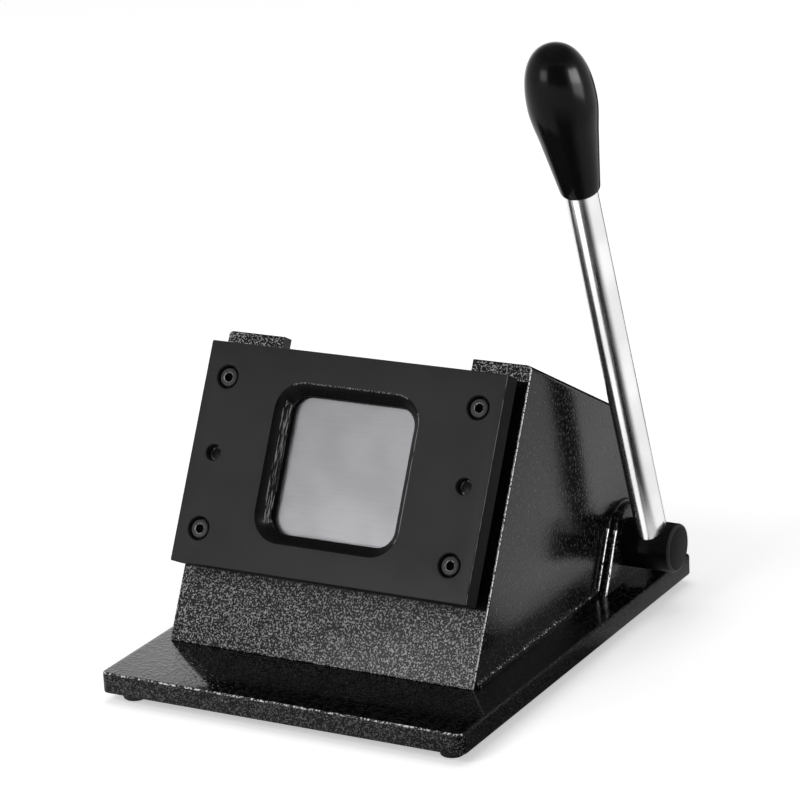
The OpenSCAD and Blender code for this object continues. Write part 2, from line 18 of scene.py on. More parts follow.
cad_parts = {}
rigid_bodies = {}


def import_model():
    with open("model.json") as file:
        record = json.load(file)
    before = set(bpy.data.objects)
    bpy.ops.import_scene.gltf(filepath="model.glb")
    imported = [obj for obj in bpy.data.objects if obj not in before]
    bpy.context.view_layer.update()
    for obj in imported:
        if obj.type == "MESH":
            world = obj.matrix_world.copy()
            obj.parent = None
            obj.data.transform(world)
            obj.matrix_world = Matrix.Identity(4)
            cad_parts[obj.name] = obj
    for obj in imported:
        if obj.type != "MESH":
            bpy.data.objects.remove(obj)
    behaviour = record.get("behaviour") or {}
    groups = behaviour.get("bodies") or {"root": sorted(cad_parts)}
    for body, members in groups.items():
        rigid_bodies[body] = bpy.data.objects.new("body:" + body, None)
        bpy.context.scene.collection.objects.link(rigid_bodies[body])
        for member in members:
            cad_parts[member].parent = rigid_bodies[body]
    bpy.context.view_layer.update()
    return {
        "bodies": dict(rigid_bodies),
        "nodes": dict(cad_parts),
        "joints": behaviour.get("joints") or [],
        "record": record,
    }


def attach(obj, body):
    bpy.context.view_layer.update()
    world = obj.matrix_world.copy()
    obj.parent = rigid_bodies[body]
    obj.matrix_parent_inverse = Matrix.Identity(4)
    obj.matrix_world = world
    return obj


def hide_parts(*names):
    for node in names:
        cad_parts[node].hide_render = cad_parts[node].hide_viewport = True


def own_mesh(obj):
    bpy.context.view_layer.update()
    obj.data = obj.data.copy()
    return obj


LOG = logging.getLogger("paper_punch")
METRE = 0.001  # metres in a millimetre
FLUSH = 0.01  # millimetres within which two places count as one

Colour = tuple[float, float, float]
Point = tuple[float, float, float]
Profile = Sequence[tuple[float, float]]
EdgeTest = Callable[[Vector, Vector], bool]
Thing = bpy.types.Object
Socket = bpy.types.NodeSocket


class Place(Enum):
    """Frames in which pieces are drawn, besides the floor's own axes."""

    FRONT = "on the housing's face at the die's middle: x right, y up the slope, z out"
    SHAFT = "z along the cross shaft, from the middle of the housing"
    LEVER = "z along the lever rod, from the shaft's axis"


class Body(Enum):
    """Bodies of the frame that new pieces ride on."""

    FRAME = "frame"
    LEVER = "lever"


@dataclass(frozen=True)
class Layout:
    """Sizes that the sub-assemblies share, in millimetres and degrees, with the values of the solids."""

    base_w: float = 150.0
    base_t: float = 8.0
    base_front: float = 37.0
    base_rear: float = 10.0
    foot_h: float = 4.0
    foot_inset: float = 9.0
    house_w: float = 128.0
    house_shift: float = -4.0
    lean: float = 27.5
    front_len: float = 119.0
    front_wall: float = 6.0
    side_wall: float = 5.0
    rear_wall: float = 5.0
    rear_room: float = 22.0
    die_mid: float = 70.7
    shaft_rise: float = 14.2
    shaft_d: float = 19.0
    shaft_over: float = 20.0
    boss_raise: float = 4.0
    lever_lean: float = 20.0
    bolt_front: float = 26.0
    bolt_rear: float = 23.0
    post_w: float = 13.0
    seat_gap: float = 0.02

    @property
    def slope(self) -> tuple[float, float]:
        """Sine and cosine of the front's lean."""
        return math.sin(math.radians(self.lean)), math.cos(math.radians(self.lean))

    @property
    def base_top(self) -> float:
        """Height of the base plate's upper face."""
        return self.foot_h + self.base_t

    @property
    def shaft_back(self) -> float:
        """Distance of the shaft's axis behind the housing's face, along the punch's axis."""
        sine, cosine = self.slope
        return (self.die_mid * cosine - self.shaft_rise) / sine

    @property
    def house_depth(self) -> float:
        """Depth of the housing at the base."""
        sine, cosine = self.slope
        return self.die_mid * sine + self.shaft_back * cosine + self.rear_room

    @property
    def base_d(self) -> float:
        """Depth of the base plate."""
        return self.base_front + self.house_depth + self.base_rear

    @property
    def foot_y(self) -> float:
        """Place of the foot of the housing's front."""
        return self.base_front - self.base_d / 2

    @property
    def rear_y(self) -> float:
        """Place of the outside of the rear wall."""
        return self.foot_y + self.house_depth

    @property
    def shaft_y(self) -> float:
        """Place of the shaft's axis from front to rear."""
        return self.rear_y - self.rear_room

    @property
    def boss_face(self) -> float:
        """Distance of a boss's outer face from the middle of the housing."""
        return self.house_w / 2 + self.boss_raise

    @property
    def shaft_end(self) -> float:
        """Distance of the shaft's right end from the middle of the housing."""
        return self.boss_face + self.shaft_over

    @property
    def base_x(self) -> float:
        """Sideways place of the middle of the base."""
        return (self.base_w / 2 - self.house_shift - self.shaft_end) / 2

    @property
    def house_x(self) -> float:
        """Sideways place of the middle of the housing."""
        return self.base_x + self.house_shift

    @property
    def inner_w(self) -> float:
        """Clear width between the side walls."""
        return self.house_w - 2 * self.side_wall

    @property
    def ear_top(self) -> float:
        """Height of the housing's top over the die's middle, up the slope."""
        return self.front_len - self.die_mid

    def matrix(self, place: Place) -> Matrix:
        """Gives the matrix that takes a frame's millimetres to the floor's millimetres.

        Args:
            place: the frame that the numbers are in.

        Returns:
            The 4 by 4 matrix of that frame.
        """
        sine, cosine = self.slope
        shaft = (self.house_x, self.shaft_y, self.base_top + self.shaft_rise)
        if place is Place.FRONT:
            axes = ((1, 0, 0), (0, sine, cosine), (0, -cosine, sine))
            origin = (self.house_x, self.foot_y + self.die_mid * sine, self.base_top + self.die_mid * cosine)
        elif place is Place.SHAFT:
            axes = ((0, 0, -1), (0, 1, 0), (1, 0, 0))
            origin = shaft
        else:
            turn = math.radians(self.lever_lean)
            axes = ((1, 0, 0), (0, math.cos(turn), math.sin(turn)), (0, -math.sin(turn), math.cos(turn)))
            origin = (shaft[0] + self.boss_face + self.shaft_over / 2, shaft[1], shaft[2])
        turned = Matrix(axes).transposed().to_4x4()
        turned.translation = Vector(origin)
        return turned

    def metres(self, place: Place, point: Point) -> Vector:
        """Gives a point of a frame in metres on the floor's axes.

        Args:
            place: the frame that the point is in.
            point: the point in millimetres.

        Returns:
            The same point in metres.
        """
        return (self.matrix(place) @ Vector(point)) * METRE

    def corners(self, x: float, y: float) -> list[Point]:
        """Gives the corners of a rectangle of half sides x and y, as shifts."""
        return [(sx * x, sy * y, 0.0) for sx in (-1, 1) for sy in (-1, 1)]

    def feet(self) -> list[Point]:
        """Gives each foot's place on the floor."""
        x, y = self.base_w / 2 - self.foot_inset, self.base_d / 2 - self.foot_inset
        return [(self.base_x + a, b, 0.0) for a, b, _ in self.corners(x, y)]

    def bolts(self) -> list[Point]:
        """Gives each housing bolt's place at the base plate's underside.

        Returns:
            The four places.
        """
        x = self.inner_w / 2 - self.post_w / 2
        rows = (self.foot_y + self.bolt_front, self.shaft_y - self.bolt_rear)
        return [(self.house_x + side * x, y, self.foot_h) for side in (-1, 1) for y in rows]


class Bench:
    """Modelling moves made of Blender's operators; lengths are in millimetres."""

    @staticmethod
    def clear() -> None:
        """Leaves edit mode and deselects everything."""
        if bpy.context.mode != "OBJECT":
            bpy.ops.object.mode_set(mode="OBJECT")
        bpy.ops.object.select_all(action="DESELECT")

    @staticmethod
    def hold(*things: Thing) -> None:
        """Selects these objects alone and makes the first one active.

        Args:
            things: the objects.
        """
        Bench.clear()
        for thing in things:
            thing.select_set(True)
        bpy.context.view_layer.objects.active = things[0]

    @staticmethod
    @contextmanager
    def editing(thing: Thing, mode: str = "EDGE") -> Iterator[None]:
        """Opens an object in edit mode for the moves inside the with block.

        Args:
            thing: the object to edit.
            mode: what is selected there: VERT, EDGE or FACE.
        """
        Bench.hold(thing)
        bpy.ops.object.mode_set(mode="EDIT")
        bpy.ops.mesh.select_mode(type=mode)
        yield
        bpy.ops.object.mode_set(mode="OBJECT")

    @staticmethod
    def pick(thing: Thing, test: EdgeTest) -> int:
        """Selects the edges of the object in edit mode that pass a test of their two ends.

        Args:
            thing: the object in edit mode.
            test: says of an edge's two ends whether it is wanted.

        Returns:
            How many edges are selected.
        """
        bpy.ops.mesh.select_all(action="DESELECT")
        mesh = bmesh.from_edit_mesh(thing.data)
        for edge in mesh.edges:
            edge.select_set(test(edge.verts[0].co, edge.verts[1].co))
        bmesh.update_edit_mesh(thing.data)
        return sum(edge.select for edge in mesh.edges)

    @staticmethod
    def pick_points(thing: Thing, test: Callable[[Vector], bool]) -> None:
        """Selects the points of the object in edit mode that pass a test of their place.

        Args:
            thing: the object in edit mode.
            test: says of a place whether its point is wanted.
        """
        bpy.ops.mesh.select_all(action="DESELECT")
        mesh = bmesh.from_edit_mesh(thing.data)
        for point in mesh.verts:
            point.select_set(test(point.co))
        bmesh.update_edit_mesh(thing.data)

    @staticmethod
    def block(low: Point, high: Point) -> Thing:
        """Adds a block between two corners.

        Args:
            low: the corner with the smaller numbers.
            high: the corner with the larger numbers.

        Returns:
            The block.
        """
        Bench.clear()
        middle = [(a + b) / 2 for a, b in zip(low, high)]
        span = [b - a for a, b in zip(low, high)]
        bpy.ops.mesh.primitive_cube_add(size=1.0, location=middle, scale=span)
        bpy.ops.object.transform_apply(location=True, rotation=True, scale=True)
        return bpy.context.active_object

    @staticmethod
    def turned(profile: Profile, sides: int = 64) -> Thing:
        """Turns a profile round z, as on a lathe, by extruding a disc ring by ring.

        Args:
            profile: radius and height of each ring, from one end to the other; radius 0 closes to a tip.
            sides: how many sides the ring has.

        Returns:
            The closed turned object.
        """
        Bench.clear()
        radius, height = profile[0]
        bpy.ops.mesh.primitive_circle_add(vertices=sides, radius=radius, fill_type="NGON", location=(0, 0, height))
        bpy.ops.object.transform_apply(location=True, rotation=True, scale=True)
        thing = bpy.context.active_object
        with Bench.editing(thing, "FACE"):
            bpy.ops.mesh.select_all(action="SELECT")
            for wide, high in profile[1:]:
                bpy.ops.mesh.extrude_region_move(TRANSFORM_OT_translate={"value": (0, 0, high - height)})
                if wide > 0:
                    share = wide / radius
                    bpy.ops.transform.resize(value=(share, share, 1), center_override=(0, 0, high))
                else:
                    bpy.ops.mesh.merge(type="CENTER")
                radius, height = wide, high
        return Bench.outward(thing)

    @staticmethod
    def loft(loops: Sequence[tuple[float, float, float]], arc: int = 10) -> Thing:
        """Bridges rounded squares that lie one above the other.

        Args:
            loops: side, corner radius and height of each square, from the lowest to the highest.
            arc: how many parts a rounded corner has.

        Returns:
            The closed object.
        """
        rings: list[Thing] = []
        for side, radius, height in loops:
            Bench.clear()
            bpy.ops.mesh.primitive_plane_add(size=side, location=(0, 0, height))
            bpy.ops.object.transform_apply(location=True, rotation=True, scale=True)
            rings.append(bpy.context.active_object)
            with Bench.editing(rings[-1], "VERT"):
                bpy.ops.mesh.select_all(action="SELECT")
                bpy.ops.mesh.bevel(offset=radius, segments=arc, affect="VERTICES")
                bpy.ops.mesh.select_all(action="SELECT")
                bpy.ops.mesh.delete(type="ONLY_FACE")
        thing = Bench.joined(rings)
        for (_, _, low), (_, _, high) in zip(loops, loops[1:]):
            with Bench.editing(thing):
                Bench.pick(thing, lambda a, b: all(
                    min(abs(p.z - low), abs(p.z - high)) < FLUSH for p in (a, b)) and abs(a.z - b.z) < FLUSH)
                bpy.ops.mesh.bridge_edge_loops()
        for height in (loops[0][2], loops[-1][2]):
            with Bench.editing(thing):
                Bench.pick(thing, lambda a, b: abs(a.z - height) < FLUSH and abs(b.z - height) < FLUSH)
                bpy.ops.mesh.edge_face_add()
        return Bench.outward(thing)

    @staticmethod
    def outward(thing: Thing) -> Thing:
        """Merges doubles and turns all faces outwards.

        Args:
            thing: the object.

        Returns:
            The same object.
        """
        with Bench.editing(thing, "VERT"):
            bpy.ops.mesh.select_all(action="SELECT")
            bpy.ops.mesh.remove_doubles(threshold=1e-5)
            bpy.ops.mesh.normals_make_consistent(inside=False)
        return thing

    @staticmethod
    def bevel(thing: Thing, test: EdgeTest, width: float, parts: int = 3) -> Thing:
        """Rounds the edges that pass a test.

        Args:
            thing: the object.
            test: says of an edge's two ends whether it is rounded.
            width: how far the rounding reaches from the edge.
            parts: how many faces the rounding has.

        Returns:
            The same object.
        """
        with Bench.editing(thing):
            if Bench.pick(thing, test):
                bpy.ops.mesh.bevel(offset=width, segments=parts, affect="EDGES", clamp_overlap=False)
        return thing

    @staticmethod
    def bisect(thing: Thing, point: Point, outward: Point) -> Thing:
        """Cuts off what lies beyond a plane and closes the cut.

        Args:
            thing: the object.
            point: a point of the plane.
            outward: the plane's normal, towards what is cut off.

        Returns:
            The same object.
        """
        with Bench.editing(thing, "VERT"):
            bpy.ops.mesh.select_all(action="SELECT")
            bpy.ops.mesh.bisect(plane_co=point, plane_no=outward, use_fill=True, clear_outer=True)
        return thing

    @staticmethod
    def score(thing: Thing, point: Point, normal: Point, test: Callable[[Vector, Vector], bool]) -> Thing:
        """Splits faces along a plane without changing the shape.

        Args:
            thing: the object.
            point: a point of the plane.
            normal: the plane's normal.
            test: says of a face's middle and normal whether the face is split.

        Returns:
            The same object.
        """
        with Bench.editing(thing, "FACE"):
            bpy.ops.mesh.select_all(action="DESELECT")
            mesh = bmesh.from_edit_mesh(thing.data)
            for face in mesh.faces:
                face.select_set(test(face.calc_center_median(), face.normal))
            bmesh.update_edit_mesh(thing.data)
            bpy.ops.mesh.bisect(plane_co=point, plane_no=normal)
        return thing

    @staticmethod
    def settle(thing: Thing, matrix: Matrix) -> Thing:
        """Moves an object's mesh by a matrix and leaves the object at the origin.

        Args:
            thing: the object.
            matrix: the move.

        Returns:
            The same object.
        """
        Bench.hold(thing)
        thing.matrix_world = matrix @ thing.matrix_world
        bpy.ops.object.transform_apply(location=True, rotation=True, scale=True)
        return thing

    @staticmethod
    def copies(thing: Thing, shifts: Sequence[Point]) -> list[Thing]:
        """Copies an object to several places, each copy with its own mesh; the original is used up.

        Args:
            thing: the object, modelled at the origin.
            shifts: the places.

        Returns:
            The copies in the order of the places.
        """
        made: list[Thing] = []
        for shift in shifts:
            Bench.hold(thing)
            bpy.ops.object.duplicate(linked=False)
            made.append(Bench.settle(bpy.context.active_object, Matrix.Translation(shift)))
        bpy.data.objects.remove(thing)
        return made

    @staticmethod
    def joined(things: Sequence[Thing]) -> Thing:
        """Joins objects into the first one.

        Args:
            things: the objects.

        Returns:
            The joined object.
        """
        Bench.hold(*things)
        if len(things) > 1:
            bpy.ops.object.join()
        return bpy.context.active_object

    @staticmethod
    def combine(thing: Thing, tool: Thing, operation: str) -> Thing:
        """Cuts or fuses an object with a tool, which is used up.

        Args:
            thing: the object that is kept.
            tool: the other object.
            operation: DIFFERENCE or UNION.

        Returns:
            The same object.
        """
        Bench.hold(thing)
        modifier = thing.modifiers.new(operation.lower(), "BOOLEAN")
        modifier.object = tool
        modifier.operation = operation
        modifier.solver = "EXACT"
        bpy.ops.object.modifier_apply(modifier=modifier.name)
        bpy.data.objects.remove(tool)
        return thing

    @staticmethod
    def cut(thing: Thing, *tools: Thing) -> Thing:
        """Cuts tools out of an object, one after the other.

        Args:
            thing: the object that is kept.
            tools: the tools, which are used up.

        Returns:
            The same object.
        """
        for tool in tools:
            Bench.combine(thing, tool, "DIFFERENCE")
        return thing

    @staticmethod
    def fuse(thing: Thing, *others: Thing) -> Thing:
        """Fuses others onto an object, one after the other.

        Args:
            thing: the object that is kept.
            others: the others, which are used up.

        Returns:
            The same object.
        """
        for other in others:
            Bench.combine(thing, other, "UNION")
        return thing

    @staticmethod
    def smooth(thing: Thing, angle: float = 32.0) -> Thing:
        """Shades smooth across edges flatter than an angle in degrees.

        Args:
            thing: the object.
            angle: the angle.

        Returns:
            The same object.
        """
        Bench.hold(thing)
        bpy.ops.object.shade_smooth_by_angle(angle=math.radians(angle))
        return thing


class Wiring:
    """A node tree of a material, a lamp or the world, built through short calls."""

    def __init__(self, tree: bpy.types.NodeTree, output: str) -> None:
        """Empties a tree and gives it its output node.

        Args:
            tree: the node tree.
            output: the kind of the output node.
        """
        self.tree = tree
        self.tree.nodes.clear()
        self.end = self.node(output).inputs["Surface"]

    def node(self, kind: str, **settings: object) -> bpy.types.ShaderNode:
        """Adds a node of a kind and sets its own properties.

        Args:
            kind: the node's type.
            settings: its properties.

        Returns:
            The node.
        """
        made = self.tree.nodes.new(kind)
        for name, value in settings.items():
            setattr(made, name, value)
        return made

    def put(self, target: Socket, value: object) -> None:
        """Links an input to another node's output, or sets it to a number or a vector.

        Args:
            target: the input.
            value: the output, the number or the vector.
        """
        if isinstance(value, bpy.types.NodeSocket):
            self.tree.links.new(value, target)
        else:
            target.default_value = value

    def feed(self, made: bpy.types.ShaderNode, **values: object) -> bpy.types.ShaderNode:
        """Sets or links a node's inputs by name, with _ for a space.

        Args:
            made: the node.
            values: a number, a vector or another node's output for each input.

        Returns:
            The same node.
        """
        for name, value in values.items():
            self.put(made.inputs[name.replace("_", " ")], value)
        return made

    def fill(self, made: bpy.types.ShaderNode, *values: object) -> bpy.types.ShaderNode:
        """Sets or links a node's first inputs in their order.

        Args:
            made: the node.
            values: a number, a vector or another node's output for each input.

        Returns:
            The same node.
        """
        for target, value in zip(made.inputs, values):
            self.put(target, value)
        return made

    def maths(self, operation: str, one: Socket | float, two: Socket | float) -> Socket:
        """Gives the result of a calculation with two values."""
        return self.fill(self.node("ShaderNodeMath", operation=operation), one, two).outputs[0]

    def span(self, source: Socket, low: float, high: float, start: float, end: float,
             is_soft: bool = True) -> Socket:
        """Maps a value from low and high to start and end, held inside them.

        Args:
            source: the value.
            low: where start is reached.
            high: where end is reached.
            start: the result at low.
            end: the result at high.
            is_soft: whether the way between them eases in and out.

        Returns:
            The mapped value.
        """
        made = self.node("ShaderNodeMapRange", clamp=True, interpolation_type="SMOOTHSTEP" if is_soft else "LINEAR")
        self.feed(made, Value=source, From_Min=low, From_Max=high, To_Min=start, To_Max=end)
        return made.outputs["Result"]

    def length(self, source: Socket) -> Socket:
        """Gives the length of a vector."""
        return self.fill(self.node("ShaderNodeVectorMath", operation="LENGTH"), source).outputs["Value"]

    def ray(self, name: str) -> Socket:
        """Gives what the light path says of the ray."""
        return self.node("ShaderNodeLightPath").outputs[name]

    def mixed(self, share: Socket, one: Socket, two: Socket) -> Socket:
        """Blends two shaders by a share."""
        return self.fill(self.node("ShaderNodeMixShader"), share, one, two).outputs[0]


class Skin(Wiring):
    """The node tree of a new material."""

    def __init__(self, name: str) -> None:
        """Starts a material with nothing but its output.

        Args:
            name: the material's name.
        """
        self.material = bpy.data.materials.new(name)
        self.material.use_nodes = True
        super().__init__(self.material.node_tree, "ShaderNodeOutputMaterial")


class Board(Skin):
    """The node tree of a finish: one principled shader and the patterns that feed it."""

    def __init__(self, name: str) -> None:
        """Starts a material with one principled shader.

        Args:
            name: the material's name.
        """
        super().__init__(name)
        self.shader = self.node("ShaderNodeBsdfPrincipled")
        self.put(self.end, self.shader.outputs["BSDF"])
        self.coords = self.node("ShaderNodeTexCoord").outputs["Object"]

    def surface(self, **values: object) -> None:
        """Sets or links the shader's inputs."""
        self.feed(self.shader, **values)

    def mapped(self, scale: Point, turn: Point = (0.0, 0.0, 0.0)) -> Socket:
        """Gives the object's coordinates turned and then stretched, so that a pattern has a grain."""
        turned = self.feed(self.node("ShaderNodeMapping", vector_type="POINT"), Vector=self.coords, Rotation=turn)
        return self.feed(self.node("ShaderNodeMapping"), Vector=turned.outputs["Vector"], Scale=scale).outputs["Vector"]

    def noise(self, scale: float, detail: float, warp: float = 0.0, at: Socket | None = None) -> Socket:
        """Gives soft noise with so many lumps to a metre.

        Args:
            scale: the number of lumps.
            detail: how many finer layers it has.
            warp: how far it is pulled about.
            at: the coordinates, when they aren't the object's.

        Returns:
            The noise, around 0.5.
        """
        made = self.feed(self.node("ShaderNodeTexNoise"), Scale=scale, Detail=detail, Distortion=warp)
        self.feed(made, Vector=at or self.coords)
        return made.outputs[0]

    def worms(self, scale: float, width: float) -> Socket:
        """Gives short winding ridges of an even spacing, 1 on their crest and 0 between them."""
        crest, warp = 0.52, 0.3
        return self.span(self.noise(scale, 0.0, warp), crest, crest + width, 0.0, 1.0)

    def tint(self, share: Socket, one: Colour, two: Colour) -> Socket:
        """Blends two colours by a share."""
        return self.blend(share, (*one, 1.0), (*two, 1.0))

    def blend(self, share: Socket, one: object, two: object) -> Socket:
        """Blends two colours by a share; inputs 6 and 7 and output 2 of a mix node are its colours.

        Args:
            share: the share of the second colour.
            one: the first colour, as an output or four numbers.
            two: the second colour.

        Returns:
            The blend.
        """
        made = self.node("ShaderNodeMix", data_type="RGBA")
        for target, source in ((made.inputs["Factor"], share), (made.inputs[6], one), (made.inputs[7], two)):
            self.put(target, source)
        return made.outputs[2]

    def relief(self, height: Socket, depth: float, strength: float = 1.0) -> Socket:
        """Gives the normal of a relief, with its depth in millimetres."""
        made = self.feed(self.node("ShaderNodeBump"), Height=height, Distance=depth * METRE, Strength=strength)
        return made.outputs["Normal"]

    def attribute(self, name: str) -> Socket:
        """Gives a face attribute of the piece."""
        return self.node("ShaderNodeAttribute", attribute_name=name).outputs["Fac"]

    def worn(self, scale: float, at: Socket | None = None) -> Socket:
        """Gives jagged patches that cover more of a face the more worn it is.

        Args:
            scale: how many patches there are to a metre.
            at: the coordinates of the pattern, when it has a grain.

        Returns:
            1 where the face is bare, 0 elsewhere.
        """
        amount = self.attribute("wear")
        height = self.maths("ADD", self.noise(scale, 2.0, 0.0, at), self.maths("MULTIPLY", amount, 0.4))
        patches = self.span(height, 0.62, 0.70, 0.0, 1.0)
        return self.maths("MULTIPLY", patches, self.maths("GREATER_THAN", amount, 0.01))


@dataclass(frozen=True)
class HammeredEnamel:
    """Black stoving enamel with a fine hammered grain of short winding ridges, rubbed bright along its edges.

    The colours are those between the ridges, on them and where the enamel is gone; the pale colour on the ridges is
    partly the paint's own flecks and partly painted glints of light, and the lit and shaded copies of this enamel
    differ in it.
    Grain and patches are counted to a metre, ridge is the ridges' share, depth is in millimetres, and bares_metal says
    what a bare place shows.
    """

    name: str
    dark: Colour = (0.008, 0.008, 0.009)
    light: Colour = (0.45, 0.45, 0.452)
    bare: Colour = (0.92, 0.92, 0.92)
    grain: float = 1650.0
    ridge: float = 0.12
    depth: float = 0.03
    rough: float = 0.30
    specular: float = 0.12
    bares_metal: bool = False
    patches: float = 700.0
    speckle: float = 2600.0
    chips: float = 1300.0
    gloss: float = 0.08

    def material(self) -> bpy.types.Material:
        """Builds the material.

        Returns:
            The enamel's material.
        """
        board = Board(self.name)
        crest = board.worms(self.grain, self.ridge)
        patchy = board.maths("MULTIPLY", crest, board.span(board.noise(self.patches, 1.0), 0.32, 0.68, 0.55, 1.0))
        # the ridges take the pale colour: partly flecks in the paint, partly painted glints
        skin = board.tint(patchy, self.dark, self.light)
        grey = board.tint(board.noise(self.speckle, 2.0), self.bare, tuple(0.6 * c for c in self.bare))
        worn = board.worn(self.chips)
        board.surface(Base_Color=board.blend(worn, skin, grey), Normal=board.relief(crest, self.depth))
        if self.bares_metal:
            board.surface(Metallic=worn)
        board.surface(Roughness=board.span(crest, 0.0, 1.0, self.rough, self.rough - self.gloss))
        board.surface(Specular_IOR_Level=self.specular)
        return board.material


@dataclass(frozen=True)
class BlackOxide:
    """Blackened steel, satin, worn bright in drawn streaks where the wear attribute says so."""

    name: str
    colour: Colour = (0.025, 0.025, 0.026)
    worn: Colour = (0.26, 0.26, 0.26)
    rough: float = 0.46
    specular: float = 0.12
    has_wear: bool = False
    clouds: float = 60.0
    grain: float = 2400.0
    streaks: Point = (2600.0, 170.0, 2600.0)
    streak_turn: float = -62.5

    def material(self) -> bpy.types.Material:
        """Builds the material.

        Returns:
            The blackened steel's material.
        """
        board = Board(self.name)
        cloud = board.span(board.noise(self.clouds, 3.0), 0.3, 0.7, 0.0, 1.0)
        deep = tuple(0.85 * c for c in self.colour)
        skin = board.tint(cloud, deep, self.colour)
        grain = board.noise(self.grain, 2.0)
        rough = board.span(grain, 0.3, 0.7, self.rough - 0.05, self.rough + 0.05)
        if self.has_wear:
            drawn = board.mapped(self.streaks, (math.radians(self.streak_turn), 0.0, 0.0))
            pale = board.tint(grain, self.worn, tuple(0.5 * c for c in self.worn))
            skin = board.blend(board.worn(1.0, drawn), skin, pale)
        board.surface(Base_Color=skin, Roughness=rough, Specular_IOR_Level=self.specular)
        board.surface(Normal=board.relief(grain, 0.01, 0.6))
        return board.material


@dataclass(frozen=True)
class BareMetal:
    """Bare metal with a grain along one direction, from a ground face to polished chrome."""

    name: str
    colour: Colour
    rough: float
    grain: Point
    turn: Point = (0.0, 0.0, 0.0)
    depth: float = 0.004
    clouds: float = 35.0

    def material(self) -> bpy.types.Material:
        """Builds the material.

        Returns:
            The metal's material.
        """
        board = Board(self.name)
        lines = board.noise(1.0, 3.0, 0.0, board.mapped(self.grain, self.turn))
        cloud = board.span(board.noise(self.clouds, 2.0), 0.35, 0.65, 0.0, 1.0)
        shade = tuple(0.86 * c for c in self.colour)
        board.surface(Base_Color=board.tint(cloud, shade, self.colour), Metallic=1.0)
        board.surface(Roughness=board.span(lines, 0.3, 0.7, 0.8 * self.rough, 1.2 * self.rough))
        board.surface(Normal=board.relief(lines, self.depth, 0.5))
        return board.material


@dataclass(frozen=True)
class Moulded:
    """Moulded black material: the knob's polished plastic or the feet's matt rubber."""

    name: str
    colour: Colour
    rough: float
    lumps: float
    depth: float
    specular: float = 0.5
    dust: float = 900.0

    def material(self) -> bpy.types.Material:
        """Builds the material.

        Returns:
            The moulded piece's material.
        """
        board = Board(self.name)
        lumps = board.noise(self.lumps, 2.0)
        dust = board.span(board.noise(self.dust, 3.0), 0.62, 0.75, 0.0, 1.0)
        pale = tuple(1.6 * c + 0.004 for c in self.colour)
        board.surface(Base_Color=board.tint(dust, self.colour, pale), Specular_IOR_Level=self.specular)
        board.surface(Roughness=board.span(dust, 0.0, 1.0, self.rough, self.rough + 0.08))
        board.surface(Normal=board.relief(lumps, self.depth, 0.6))
        return board.material


@dataclass(frozen=True)
class ScrewSize:
    """A socket screw: its head, its key across the flats, its thread, its length under the head and its rim."""

    head_d: float
    head_h: float
    key: float
    d: float
    reach: float
    rim: float = 0.6


